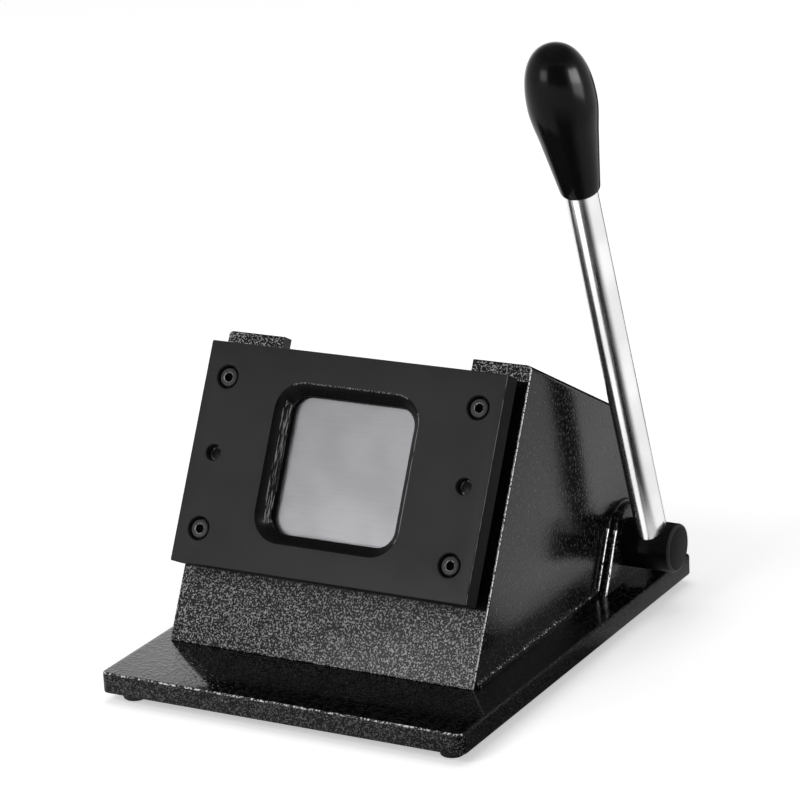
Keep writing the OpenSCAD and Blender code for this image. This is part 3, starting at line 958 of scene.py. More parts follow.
@dataclass
class SubAssembly:
    """Pieces that are built together and ride on named bodies."""

    layout: Layout
    nodes: dict[str, Thing]
    # pale patches on the chamfer of a screw's key socket: painted glints
    socket_glint: float = 0.36

    def finish(self, thing: Thing, node: str, slot: str, body: Body, *finishes: object) -> Thing:
        """Takes a piece to metres, dresses it and lets it stand for its node.

        Args:
            thing: the piece in millimetres on the floor's axes.
            node: the node of the frame that it stands for.
            slot: the record's material slot; not used.
            body: the body that it rides on.
            finishes: the finishes of its material slots.

        Returns:
            The finished piece.
        """
        Bench.settle(thing, Matrix.Scale(METRE, 4))
        numbers = [0] * len(thing.data.polygons)
        thing.data.polygons.foreach_get("material_index", numbers)
        thing.data.materials.clear()
        for finish in finishes:
            thing.data.materials.append(finish.material())
        thing.data.polygons.foreach_set("material_index", [min(n, len(finishes) - 1) for n in numbers])
        thing.name = f"{node}.dressed"
        thing.data.name = thing.name
        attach(thing, body.value)
        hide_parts(node)
        LOG.info("piece %s: %d faces, rides on %s", thing.name, len(thing.data.polygons), body.value)
        return thing

    def paint(self, finish: object, *names: str) -> None:
        """Gives nodes of the frame that keep their shape a finish.

        Args:
            finish: the finish.
            names: the nodes.
        """
        material = finish.material()
        for name in names:
            for slot in self.nodes[name].material_slots:
                slot.material = material
            LOG.info("node %s keeps its shape, finish %s", name, material.name)

    def sort_faces(self, thing: Thing, number: Callable[[bpy.types.MeshPolygon], int]) -> None:
        """Args:
            thing: the piece.
            number: gives a face's number.
        """
        for slot in range(1 + max(number(face) for face in thing.data.polygons)):
            thing.data.materials.append(bpy.data.materials.new(f"slot_{slot}"))
        for face in thing.data.polygons:
            face.material_index = number(face)

    def wear(self, thing: Thing, amount: Callable[[bpy.types.MeshPolygon], float]) -> None:
        """Writes how worn each face is as the attribute that the finishes read.

        Args:
            thing: the piece.
            amount: gives a face's wear.
        """
        worn = thing.data.attributes.new("wear", "FLOAT", "FACE")
        for face in thing.data.polygons:
            worn.data[face.index].value = amount(face)

    def screw(self, size: ScrewSize) -> Thing:
        """Models a socket screw along -z, its head's seat at the origin.

        Args:
            size: the screw's size.

        Returns:
            The screw.
        """
        r, thread, head_h = size.head_d / 2, size.d / 2, size.head_h
        rounding = [(r - size.rim * (1 - math.cos(t)), head_h - size.rim * (1 - math.sin(t)))
                    for t in (0.0, 0.4, 0.8, 1.2, math.pi / 2)]
        screw = Bench.turned([(0.8 * thread, -size.reach), (thread, 0.1 * size.d - size.reach), (thread, 0.0),
                              (r - 0.2, 0.0), (r, 0.2), *rounding], 48)
        wide = size.key / 2 / math.cos(math.pi / 6)
        mouth = wide + 0.3
        Bench.cut(screw, Bench.turned([(wide, 0.42 * head_h), (wide, head_h + 1)], 6))
        Bench.cut(screw, Bench.turned([(wide - 0.05, head_h - 0.35), (mouth + 0.35, head_h + 0.35)], 32))

        def inside(at: Vector, low: float, high: float) -> bool:
            """Says whether a place is in the socket between two heights."""
            return at.xy.length < mouth and low < at.z < high

        # the inside of the socket takes the second, near-black finish as painted shade; its chamfer takes pale patches
        # as painted glints
        self.sort_faces(screw, lambda face: int(inside(face.center, 0.3 * head_h, head_h - 0.3)))
        self.wear(screw, lambda face: self.socket_glint * inside(face.center, head_h - 0.3, head_h - FLUSH))
        return Bench.smooth(screw)


@dataclass
class BaseAssembly(SubAssembly):
    """Base plate and the four rubber feet under it."""

    corner: float = 3.0
    top_round: float = 0.9
    low_round: float = 0.5
    foot_d: float = 10.0
    foot_taper: float = 1.0
    foot_web: float = 1.8
    screw_hole: float = 3.04
    screw_deep: float = 5.1
    head_hole: float = 6.2
    bolt_hole: float = 6.04
    bolt_head: float = 12.04
    bolt_sink: float = 3.3
    rim_wear: float = 0.30
    # one enamel in three copies by the face's direction: the top near-black as painted shade, the front edge with pale
    # crests as painted highlights, the other sides darker as painted shade
    shaded_top_enamel: HammeredEnamel = HammeredEnamel(
        "enamel_base_top_shaded", (0.002, 0.002, 0.002), (0.006, 0.006, 0.006), grain=700.0, depth=0.05, rough=0.10,
        specular=0.39)
    enamel: HammeredEnamel = HammeredEnamel(
        "enamel_base_edge_lit", (0.004, 0.004, 0.004), (0.115, 0.115, 0.116), grain=1800.0)
    shaded_side_enamel: HammeredEnamel = HammeredEnamel(
        "enamel_base_side_shaded", (0.004, 0.004, 0.004), (0.08, 0.08, 0.081), grain=1800.0, rough=0.34, specular=0.04)
    rubber: Moulded = Moulded("foot_rubber", (0.010, 0.010, 0.011), 0.72, 1500.0, 0.02, 0.3)
    zinc: BareMetal = BareMetal("zinc_plate", (0.55, 0.56, 0.57), 0.36, (500.0, 500.0, 500.0))
    black: BlackOxide = BlackOxide("bolt_black", (0.014, 0.014, 0.015))

    def plate(self) -> Thing:
        """Models the plate: rounded corners and rim, countersinks for the bolts, holes for the feet.

        Returns:
            The plate, with its faces sorted by finish and their wear.
        """
        low, high = self.layout.foot_h, self.layout.base_top
        x, half_w, half_d = self.layout.base_x, self.layout.base_w / 2, self.layout.base_d / 2
        plate = Bench.block((x - half_w, -half_d, low), (x + half_w, half_d, high))
        Bench.bevel(plate, lambda a, b: abs(a.z - b.z) > 1, self.corner, 8)
        Bench.bevel(plate, lambda a, b: min(a.z, b.z) > high - FLUSH, self.top_round, 4)
        Bench.bevel(plate, lambda a, b: max(a.z, b.z) < low + FLUSH, self.low_round, 2)
        sink = Bench.turned([(self.bolt_head / 2 + 0.5, -0.5), (self.bolt_head / 2, 0.0),
                             (self.bolt_hole / 2, self.bolt_sink), (self.bolt_hole / 2, 2 * self.layout.base_t)], 48)
        hole = Bench.turned([(self.screw_hole / 2, low - 1), (self.screw_hole / 2, low + self.screw_deep)], 32)
        Bench.cut(plate, Bench.joined(Bench.copies(sink, self.layout.bolts())))
        Bench.cut(plate, Bench.joined(Bench.copies(hole, self.layout.feet())))
        # faces sorted by direction into the lit and shaded copies of the enamel: 0 top and bottom, 1 front, 2 other
        # sides
        self.sort_faces(plate, lambda face: 0 if abs(face.normal.z) > 0.95 else 1 if face.normal.y < -0.3 else 2)
        self.wear(plate, lambda face: self.rubbed(face.center, face.normal))
        return Bench.smooth(plate)

    def rubbed(self, at: Vector, normal: Vector) -> float:
        """Says how much the enamel is rubbed off: along the upper rim in front."""
        is_rim = at.z > self.layout.base_top - self.top_round and 0.35 < normal.z < 0.94
        return self.rim_wear if is_rim and normal.y < -0.3 else 0.0

    def feet(self) -> Thing:
        """Models one foot with its screw recess and copies it to the four corners.

        Returns:
            The four feet.
        """
        top, bottom, height = self.foot_d / 2, (self.foot_d - self.foot_taper) / 2, self.layout.foot_h
        foot = Bench.turned([(bottom - 0.9, 0.0), (bottom - 0.5, 0.1), (bottom - 0.15, 0.4), (bottom + 0.05, 0.9),
                             (top - 0.1, height - 0.3), (top - 0.25, height)], 48)
        recess = height - self.foot_web
        Bench.cut(foot, Bench.turned([(self.head_hole / 2 + 0.4, -0.4), (self.head_hole / 2, 0.3),
                                      (self.head_hole / 2, recess), (self.screw_hole / 2, recess),
                                      (self.screw_hole / 2, height + 1)], 40))
        return Bench.smooth(Bench.joined(Bench.copies(foot, self.layout.feet())))

    def build(self) -> None:
        """Builds the plate and the feet and dresses them and their screws."""
        self.finish(self.plate(), "base_plate", "base_paint", Body.FRAME, self.shaded_top_enamel, self.enamel,
                    self.shaded_side_enamel)
        self.finish(self.feet(), "rubber_feet", "foot_rubber", Body.FRAME, self.rubber)
        self.paint(self.zinc, "foot_screws")
        self.paint(self.black, "housing_bolts")


@dataclass
class HousingAssembly(SubAssembly):
    """Wedge-shaped housing with its bearing bosses, the sunk cover and the cover's screws.

    The sizes that start with blank and tool only reach past the piece, for blocks that are trimmed and cutting tools.
    """

    blank_front: float = 60.0
    blank_top: float = 240.0
    blank_ledge: float = 140.0
    blank_cover: float = 150.0
    tool_roof: float = 150.0
    tool_back: float = 300.0
    tool_up: float = 200.0
    tool_out: float = 100.0
    tool_shaft: float = 90.0
    roof_round: float = 2.2
    edge_round: float = 0.65
    rear_round: float = 1.2
    foot_round: float = 0.5
    notch_w: float = 80.0
    # height of the band of the front, level with the die plate, that is painted near-black as the plate's shadow
    painted_shadow_h: float = 84.0
    cover_sink: float = 5.0
    cover_t: float = 2.0
    cover_gap: float = 0.15
    cover_round: float = 0.5
    cover_inset: float = 12.0
    ledge_w: float = 7.0
    ledge_t: float = 6.0
    post_h: float = 14.0
    boss_r: float = 15.5
    boss_flare: float = 25.0
    boss_round: float = 1.2
    bead: float = 1.2
    bead_ends: tuple[float, float] = (3.0, 2.0)
    lip_t: float = 1.5
    bush_d: float = 24.04
    shaft_hole: float = 19.6
    window: float = 54.0
    window_r: float = 8.0
    die_screw: Point = (52.5, 28.75, 4.04)
    dowel_d: float = 6.04
    guide_x: float = 40.0
    guide_d: float = 10.04
    rod_boss_d: float = 18.0
    rod_boss_h: float = 8.0
    m3: ScrewSize = ScrewSize(5.6, 1.8, 2.0, 3.0, 7.0)
    post_hole: float = 6.04
    post_deep: float = 10.1
    foot_wear: float = 0.06
    boss_wear: float = 0.62
    # pale bare places along the front's edges; on the right edge they also paint its highlight line
    edge_wear_and_gleam: tuple[float, float] = (0.6, 0.5)
    left_wear: float = 0.2
    wear_rise: float = 9.0
    # one enamel in two copies by the face's direction: the front with pale crests, partly painted glints, and the sides
    # and inside darker as painted shade
    enamel: HammeredEnamel = HammeredEnamel("enamel_housing_front_lit")
    shaded_side_enamel: HammeredEnamel = HammeredEnamel(
        "enamel_housing_side_shaded", (0.005, 0.005, 0.005), (0.070, 0.070, 0.071), grain=950.0, ridge=0.30, depth=0.035,
        rough=0.18, specular=0.18, bares_metal=True)
    # near-black enamel: the die plate's painted shadow on the front behind and beside it
    painted_shadow_enamel: HammeredEnamel = HammeredEnamel(
        "enamel_housing_painted_shadow", (0.002, 0.002, 0.002), (0.006, 0.006, 0.006), rough=0.5, specular=0.04)
    cover_enamel: HammeredEnamel = HammeredEnamel(
        "enamel_cover", (0.008, 0.008, 0.008), (0.060, 0.060, 0.061), rough=0.26)
    black: BlackOxide = BlackOxide("cover_screw_black", (0.014, 0.014, 0.015))
    # near-black inside the key socket: painted shade
    socket: BlackOxide = BlackOxide("cover_socket_shaded", (0.002, 0.002, 0.002), rough=0.6, specular=0.02)

    @property
    def cover_top(self) -> float:
        """Height of the cover's upper face over the die's middle, up the slope."""
        return self.layout.ear_top - self.cover_sink

    def front_block(self, low: Point, high: Point) -> Thing:
        """Adds a block that is square to the leaning front."""
        return Bench.settle(Bench.block(low, high), self.layout.matrix(Place.FRONT))

    def wedge(self, side: float, front: float, rear: float, low: float, roof: float) -> Thing:
        """Models a wedge with the housing's slopes.

        Args:
            side: half its width.
            front: its front face, out from the housing's face.
            rear: its rear face.
            low: its lower face.
            roof: its upper face, up the slope from the die's middle.

        Returns:
            The wedge.
        """
        lay = self.layout
        sine, cosine = lay.slope
        block = Bench.block((lay.house_x - side, lay.foot_y - self.blank_front, low),
                            (lay.house_x + side, rear, self.blank_top))
        frame = lay.matrix(Place.FRONT)
        Bench.bisect(block, frame @ Vector((0, 0, front)), (0, -cosine, sine))
        return Bench.bisect(block, frame @ Vector((0, roof, 0)), (0, sine, cosine))

    def rounded(self, wedge: Thing) -> Thing:
        """Rounds the outer wedge's edges in one bevel, each by its own radius.

        Args:
            wedge: the wedge with sharp edges.

        Returns:
            The same wedge.
        """
        lay = self.layout
        back = lay.matrix(Place.FRONT).inverted()
        weights = wedge.data.attributes.new("bevel_weight_edge", "FLOAT", "EDGE")
        for edge in wedge.data.edges:
            ends = [wedge.data.vertices[number].co for number in edge.vertices]
            radius = self.edge_round
            if all(p.z < lay.base_top + FLUSH for p in ends):
                radius = self.foot_round
            elif all(p.y > lay.rear_y - FLUSH for p in ends):
                radius = self.rear_round
            elif all((back @ p).y > lay.ear_top - FLUSH for p in ends) and abs(ends[0].x - ends[1].x) < 1:
                radius = self.roof_round
            weights.data[edge.index].value = radius / self.roof_round
        Bench.hold(wedge)
        modifier = wedge.modifiers.new("rounding", "BEVEL")
        modifier.width = self.roof_round
        modifier.segments = 4
        modifier.limit_method = "WEIGHT"
        bpy.ops.object.modifier_apply(modifier=modifier.name)
        return wedge

    def shell(self) -> Thing:
        """Models the walls with their rounded edges, the notch and the sunk seat of the cover.

        Returns:
            The walls.
        """
        lay = self.layout
        half, inner = lay.house_w / 2, lay.inner_w / 2
        shell = self.rounded(self.wedge(half, 0.0, lay.rear_y, lay.base_top, lay.ear_top))
        Bench.cut(shell, self.wedge(inner, -lay.front_wall, lay.rear_y - lay.rear_wall, 0.0, self.tool_roof))
        Bench.cut(shell, self.front_block((-self.notch_w / 2, self.cover_top, -self.tool_back),
                                          (self.notch_w / 2, self.tool_up, self.tool_out)))
        seat = self.cover_top - self.cover_t
        return Bench.cut(shell, self.front_block((-inner, seat, -self.tool_back),
                                                 (inner, self.tool_up, -lay.front_wall)))

    def boss(self, radius: float, face: float, rounding: float) -> Thing:
        """Models one bearing boss on the right: a round eye on a foot that spreads to the base.

        Args:
            radius: radius of the eye.
            face: its outer face, from the middle of the housing.
            rounding: rounding of its outer rim.

        Returns:
            The boss.
        """
        lay = self.layout
        turn = math.radians(self.boss_flare)
        inner, length = lay.inner_w / 2, face - lay.inner_w / 2
        side, rise = radius * math.cos(turn), radius * math.sin(turn)
        spread = math.tan(turn)
        clip = lay.rear_room - lay.seat_gap
        Bench.clear()
        bpy.ops.mesh.primitive_circle_add(vertices=72, radius=radius, location=(0, 0, inner))
        bpy.ops.object.transform_apply(location=True, rotation=True, scale=True)
        boss = bpy.context.active_object
        down = lay.shaft_rise + rise
        steps = {-1: [(down, -down * spread)],
                 1: [((clip - side) / spread, clip - side), (down - (clip - side) / spread, 0.0)]}
        with Bench.editing(boss, "VERT"):
            Bench.pick_points(boss, lambda p: p.x > FLUSH - rise)
            bpy.ops.mesh.delete(type="VERT")
            for hand, moves in steps.items():
                Bench.pick_points(boss, lambda p: abs(p.x + rise) < FLUSH and hand * p.y > 0)
                for x, y in moves:
                    bpy.ops.mesh.extrude_region_move(TRANSFORM_OT_translate={"value": (x, y, 0)})
            bpy.ops.mesh.select_all(action="SELECT")
            bpy.ops.mesh.edge_face_add()
            bpy.ops.mesh.extrude_region_move(TRANSFORM_OT_translate={"value": (0, 0, length)})
        Bench.outward(boss)
        Bench.bevel(boss, lambda a, b: min(a.z, b.z) > face - FLUSH and min(a.x, b.x) < down - rise - FLUSH,
                    rounding, 3)
        return Bench.settle(boss, lay.matrix(Place.SHAFT))

    def paint_bead(self) -> Thing:
        """Models the bead of paint along the joint of the right wall and the base.

        Returns:
            The bead.
        """
        lay = self.layout
        edge, low = lay.house_x + lay.house_w / 2, lay.base_top
        start, end = lay.foot_y + self.bead_ends[0], lay.rear_y - self.bead_ends[1]
        bead = Bench.block((edge - 1, start, low), (edge + self.bead, end, low + 2 * self.bead))

        def is_outer(a: Vector, b: Vector) -> bool:
            """Says whether an edge runs along the outside of the bead, above or in front."""
            return min(a.x, b.x) > edge and (min(a.z, b.z) > low + FLUSH or max(a.y, b.y) < start + FLUSH)

        return Bench.bevel(bead, is_outer, 0.9 * self.bead, 3)

    def inside(self) -> list[Thing]:
        """Models what stands inside the walls: ledges, bolt posts and the bosses of the guide rods.

        Returns:
            The pieces that are fused to the walls.
        """
        lay = self.layout
        inner, seat = lay.inner_w / 2, self.cover_top - self.cover_t
        made: list[Thing] = []
        for side in (-1, 1):
            edges = sorted((side * (inner - self.ledge_w), side * (inner + 1)))
            ledge = self.front_block((edges[0], seat - self.ledge_t, -self.blank_ledge),
                                     (edges[1], seat, 1 - lay.front_wall))
            made.append(Bench.bisect(ledge, (0, lay.rear_y - 1, 0), (0, 1, 0)))
            rod_boss = Bench.turned([(self.rod_boss_d / 2 - 0.6, -lay.front_wall - self.rod_boss_h),
                                     (self.rod_boss_d / 2, 0.6 - lay.front_wall - self.rod_boss_h),
                                     (self.rod_boss_d / 2, -1)], 48)
            place = lay.matrix(Place.FRONT) @ Matrix.Translation((side * self.guide_x, 0, 0))
            made.append(Bench.settle(rod_boss, place))
        for x, y, _ in lay.bolts():
            out = 1 if x > lay.house_x else -1
            edges = sorted((x - out * lay.post_w / 2, x + out * (lay.post_w / 2 + 1)))
            made.append(Bench.block((edges[0], y - lay.post_w / 2, lay.base_top),
                                    (edges[1], y + lay.post_w / 2, lay.base_top + self.post_h)))
        return made

    def cover_places(self) -> list[Matrix]:
        """Gives the frame of each cover screw, z out of the cover.

        Returns:
            The four matrices.
        """
        lay = self.layout
        sine, cosine = lay.slope
        low = self.cover_top - self.cover_t
        back = (lay.house_depth - (lay.die_mid + low) * sine) / cosine
        rows = (lay.front_wall + self.cover_inset, back - lay.rear_wall - self.cover_inset)
        x = lay.inner_w / 2 - self.ledge_w / 2
        tilt = Matrix.Rotation(math.radians(-90), 4, "X")
        return [lay.matrix(Place.FRONT) @ Matrix.Translation((side * x, self.cover_top, -row)) @ tilt
                for side in (-1, 1) for row in rows]

    def drill(self, radius: float, low: float, high: float, frames: Sequence[Matrix], sides: int = 40) -> Thing:
        """Models a drill of one radius in several frames, as one cutting tool."""
        drills = [Bench.settle(Bench.turned([(radius, low), (radius, high)], sides), matrix) for matrix in frames]
        return Bench.joined(drills)

    def holes(self) -> list[Thing]:
        """Models everything that is bored or drilled into the housing.

        Returns:
            The cutting tools.
        """
        lay = self.layout
        front, shaft = lay.matrix(Place.FRONT), lay.matrix(Place.SHAFT)
        reach, wall = lay.boss_face - self.lip_t, lay.front_wall
        sides = (-1, 1)
        screw_x, screw_y, screw_d = self.die_screw
        window = Bench.loft([(self.window, self.window_r, -wall - 1), (self.window, self.window_r, 1)])

        def on_front(x: float, y: float) -> Matrix:
            """Gives the front's frame, moved along it."""
            return front @ Matrix.Translation((x, y, 0))

        return [
            self.drill(self.bush_d / 2, -reach, reach, [shaft], 96),
            self.drill(self.shaft_hole / 2, -self.tool_shaft, self.tool_shaft, [shaft], 96),
            Bench.settle(window, front),
            self.drill(screw_d / 2, -wall - 1, 1, [on_front(a * screw_x, b * screw_y) for a in sides for b in sides]),
            self.drill(self.dowel_d / 2, 0.9 - wall, 1, [on_front(a * screw_x, 0) for a in sides]),
            self.drill(self.guide_d / 2, -wall - self.rod_boss_h - 1, 0.1 - wall,
                       [on_front(a * self.guide_x, 0) for a in sides]),
            self.drill(self.post_hole / 2, -1, lay.base_t + self.post_deep,
                       [Matrix.Translation(place) for place in lay.bolts()]),
            self.drill(self.m3.d / 2 + lay.seat_gap, -self.cover_t - self.ledge_t - 1, 1, self.cover_places(), 24),
        ]

    def housing(self) -> Thing:
        """Models the whole housing, with its faces sorted by finish and their wear.

        Returns:
            The housing.
        """
        lay = self.layout
        shell = Bench.fuse(self.shell(), *self.inside())
        mirror = Matrix.Translation((2 * lay.house_x, 0, 0)) @ Matrix.Scale(-1, 4, (1, 0, 0))
        rims = ((self.boss_r, lay.boss_face, self.boss_round),
                (self.boss_r + self.bead, lay.house_w / 2 + self.bead, 0.8 * self.bead))
        for radius, face, rounding in rims:
            boss = self.boss(radius, face, rounding)
            Bench.hold(boss)
            bpy.ops.object.duplicate(linked=False)
            Bench.fuse(shell, boss, Bench.outward(Bench.settle(bpy.context.active_object, mirror)))
        Bench.fuse(shell, self.paint_bead())
        Bench.cut(shell, *self.holes())
        front = lay.matrix(Place.FRONT)
        # scores the front at the band's edges, so that the band can take the painted shadow
        for height in (-self.painted_shadow_h / 2, self.painted_shadow_h / 2):
            Bench.score(shell, front @ Vector((0, height, 0)), front.col[1].to_3d(), self.is_front)
        self.sort_faces(shell, lambda face: self.number(face.center, face.normal))
        self.wear(shell, lambda face: self.rubbed(face.center, face.normal))
        return Bench.smooth(shell)

    def is_front(self, at: Vector, normal: Vector) -> bool:
        """Says whether a face lies on the leaning front."""
        front = self.layout.matrix(Place.FRONT)
        return normal.dot(front.col[2].to_3d()) > 0.99 and abs((front.inverted() @ at).z) < 0.1

    def number(self, at: Vector, normal: Vector) -> int:
        """Gives a face's finish: 0 the front, a lit copy of the enamel with pale crests, 1 the sides and the inside, a
        shaded copy, 2 the band of the front level with the die plate, near-black as the plate's painted shadow.

        Args:
            at: the middle of a face.
            normal: its normal.

        Returns:
            The number of the material slot.
        """
        spot = self.layout.matrix(Place.FRONT).inverted() @ at
        if self.is_front(at, normal):
            return 2 if abs(spot.y) < self.painted_shadow_h / 2 else 0
        return 0 if normal.y < -0.5 and spot.z > -self.roof_round else 1

    def rubbed(self, at: Vector, normal: Vector) -> float:
        """Says how much the enamel is rubbed off: along the front's edges and the bosses' rims; the pale bare places on
        the front's right edge also paint its bright highlight line.

        Args:
            at: the middle of a face.
            normal: its normal.

        Returns:
            The wear, from 0 up.
        """
        lay = self.layout
        half = lay.house_w / 2
        spot = lay.matrix(Place.FRONT).inverted() @ at
        side, outward = abs(spot.x), abs(normal.x)
        if side > half + FLUSH and 0.2 < outward < 0.98:
            is_rim = side < half + self.bead or side > lay.boss_face - self.boss_round
            if at.z < lay.base_top + 2 * self.bead:
                return self.foot_wear
            return self.boss_wear if is_rim and at.z < lay.base_top + lay.shaft_rise + self.wear_rise else 0.0
        if half - self.edge_round < side < half + FLUSH and spot.z > -self.edge_round and 0.3 < outward < 0.95:
            # the right edge is worn more, and its pale bare places also paint the edge's highlight line
            return self.edge_wear_and_gleam[outward >= 0.7] if spot.x > 0 else self.left_wear
        return 0.0

    def cover(self) -> Thing:
        """Models the sheet cover that lies sunk between the side walls.

        Returns:
            The cover with its screw holes.
        """
        lay = self.layout
        half = lay.inner_w / 2 - self.cover_gap
        sheet = self.front_block((-half, self.cover_top - self.cover_t, -self.blank_cover),
                                 (half, self.cover_top, -lay.front_wall - self.cover_gap))
        Bench.bisect(sheet, (0, lay.rear_y, 0), (0, 1, 0))
        back = lay.matrix(Place.FRONT).inverted()
        Bench.bevel(sheet, lambda a, b: all((back @ p).y > self.cover_top - FLUSH for p in (a, b)),
                    self.cover_round, 3)
        tool = self.drill(self.m3.d / 2 + lay.seat_gap, -self.cover_t - 1, 1, self.cover_places(), 24)
        return Bench.smooth(Bench.cut(sheet, tool))

    def cover_screws(self) -> Thing:
        """Models one cover screw and copies it to the four corners.

        Returns:
            The four screws.
        """
        places = self.cover_places()
        made = Bench.copies(self.screw(self.m3), [(0.0, 0.0, 0.0)] * len(places))
        return Bench.joined([Bench.settle(copy, place) for copy, place in zip(made, places)])

    def build(self) -> None:
        """Builds the housing, its cover and the cover's screws and dresses them."""
        self.finish(self.housing(), "housing", "housing_paint", Body.FRAME, self.enamel, self.shaded_side_enamel,
                    self.painted_shadow_enamel)
        self.finish(self.cover(), "top_cover", "cover_paint", Body.FRAME, self.cover_enamel)
        self.finish(self.cover_screws(), "cover_screws", "black_screw", Body.FRAME, self.black, self.socket)


@dataclass
class DieAssembly(SubAssembly):
    """Die plate with its opening and feed slot, its screws and dowels, and the guide plate behind it."""

    width: float = 124.0
    height: float = 84.0
    back: float = 6.0
    face: float = 14.0
    corner: float = 0.5
    edge_round: float = 0.45
    slot_w: float = 94.0
    slot_top: float = 8.0
    opening: float = 52.1
    opening_r: float = 7.05
    land_top: float = 9.0
    flare: float = 4.0
    lip: float = 0.35
    screw_x: float = 52.5
    screw_y: float = 28.75
    screw_seat: float = 9.4
    bore_d: float = 8.8
    bore_chamfer: float = 0.35
    screw_hole: float = 4.04
    m4: ScrewSize = ScrewSize(7.0, 4.0, 3.0, 4.0, 14.4)
    dowel_d: float = 6.0
    dowel_low: float = -5.0
    dowel_top: float = 11.0
    dowel_chamfer: float = 0.3
    top_lip_wear: float = 0.34
    # pale places on the lip's right side: wear and a painted highlight line
    right_lip_wear_and_highlight: float = 0.6
    band_wear: float = 0.27
    # pale places along the plate's right edge: wear and its painted highlight line
    edge_wear_and_gleam: float = 0.55
    pin_glint: float = 0.3
    oxide: BlackOxide = BlackOxide("die_oxide", has_wear=True)
    # darker copies of the oxide: the outer sides as painted shade, the bores and the opening's walls as painted shade
    # in the recesses
    shaded_side_oxide: BlackOxide = BlackOxide("die_side_oxide", (0.019, 0.019, 0.020), rough=0.6, specular=0.03)
    shaded_wall_oxide: BlackOxide = BlackOxide(
        "die_wall_oxide", (0.006, 0.006, 0.006), (0.36, 0.36, 0.36), rough=0.30, specular=0.08, has_wear=True)
    guide_oxide: BlackOxide = BlackOxide("guide_oxide", (0.016, 0.016, 0.017))
    black: BlackOxide = BlackOxide("die_screw_black", (0.050, 0.050, 0.052), (0.60, 0.60, 0.60), 0.36, has_wear=True)
    # near-black inside the key socket: painted shade
    socket: BlackOxide = BlackOxide("die_socket_shaded", (0.002, 0.002, 0.002), rough=0.6, specular=0.02)
    # near-black pins: black oxide that also paints the shade deep in the dowel holes
    shaded_pin_black: BlackOxide = BlackOxide(
        "dowel_black_shaded", (0.005, 0.005, 0.005), (0.40, 0.40, 0.40), 0.34, specular=0.10, has_wear=True)

    @property
    def dowel_places(self) -> list[Point]:
        """Places of the two dowels on the front."""
        return [(-self.screw_x, 0.0, 0.0), (self.screw_x, 0.0, 0.0)]

    def opening_tool(self) -> Thing:
        """Models the cutting tool of the flared opening with its broken outer edge.

        Returns:
            The tool.
        """
        rise = self.face - self.land_top

        def at(height: float, extra: float = 0.0) -> tuple[float, float, float]:
            """Gives the side, the corner radius and the height of the opening at a height."""
            grow = self.flare * max(0.0, height - self.land_top) / rise + extra
            return self.opening + 2 * grow, self.opening_r + grow, height

        middle = self.land_top + 0.5 * rise
        return Bench.loft([at(self.slot_top - 1), at(self.land_top), at(middle),
                           at(self.face - self.lip), at(self.face + 2 * self.lip, 2 * self.lip)])

    def plate(self) -> Thing:
        """Models the die plate in the front's frame: slot, opening, screw bores and dowel holes.

        Returns:
            The plate.
        """
        half_w, half_h = self.width / 2, self.height / 2
        plate = Bench.block((-half_w, -half_h, self.back), (half_w, half_h, self.face))
        Bench.bevel(plate, lambda a, b: abs(a.z - b.z) > 1, self.corner, 3)
        Bench.bevel(plate, lambda a, b: min(a.z, b.z) > self.face - FLUSH, self.edge_round, 3)
        Bench.cut(plate, Bench.block((-self.slot_w / 2, -half_h - 1, self.back - 1),
                                     (self.slot_w / 2, half_h + 1, self.slot_top)))
        Bench.cut(plate, self.opening_tool())
        bore, hole, chamfer = self.bore_d / 2, self.screw_hole / 2, self.bore_chamfer
        tool = Bench.turned([(hole, 0.0), (hole, self.screw_seat), (bore, self.screw_seat),
                             (bore, self.face - chamfer), (bore + 2 * chamfer, self.face + chamfer)], 64)
        Bench.cut(plate, Bench.joined(Bench.copies(tool, self.layout.corners(self.screw_x, self.screw_y))))
        r, chamfer = self.dowel_d / 2 + self.layout.seat_gap, self.dowel_chamfer
        tool = Bench.turned([(r, 0.0), (r, self.face - chamfer), (r + 2 * chamfer, self.face + chamfer)], 48)
        Bench.cut(plate, Bench.joined(Bench.copies(tool, self.dowel_places)))
        return plate

    def in_opening(self, at: Vector) -> bool:
        """Says whether a place is on the walls of the opening."""
        return max(abs(at.x), abs(at.y)) < self.opening / 2 + self.flare + 2 * self.lip and at.z > self.slot_top + FLUSH

    def number(self, at: Vector, normal: Vector) -> int:
        """Gives a face's finish: 0 the front and back, 1 the outer sides and the bores, darker as painted shade, 2 the
        opening's walls, near-black as painted shade, with their real scratches.

        Args:
            at: the middle of a face.
            normal: its normal.

        Returns:
            The number of the material slot.
        """
        if normal.z < 0.95 and self.in_opening(at):
            return 2
        bores = ((self.screw_x, self.screw_y), (self.screw_x, 0.0))
        if normal.z < 0.95 and any(math.hypot(abs(at.x) - x, abs(at.y) - y) < self.bore_d for x, y in bores):
            return 1
        outer = abs(at.x) > self.width / 2 - 0.3 or abs(at.y) > self.height / 2 - 0.3
        return 1 if outer and normal.z < 0.3 else 0

    def rubbed(self, at: Vector, normal: Vector) -> float:
        """Says how worn a face is: at the opening's lip and its inner band on the left, and along the right edge; the
        pale places on the lip's right side and along the right edge also paint highlight lines.

        Args:
            at: the middle of a face.
            normal: its normal.

        Returns:
            The wear, from 0 up.
        """
        if normal.z > 0.99:
            return 0.0
        if self.in_opening(at):
            if at.z > self.face - self.lip:
                return self.top_lip_wear if normal.y < -0.5 else self.right_lip_wear_and_highlight if normal.x < -0.5 else 0.0
            return self.band_wear if normal.x > 0.7 and at.z < (self.land_top + self.face) / 2 else 0.0
        return self.edge_wear_and_gleam if at.z > self.face - self.edge_round and normal.x > 0.3 else 0.0

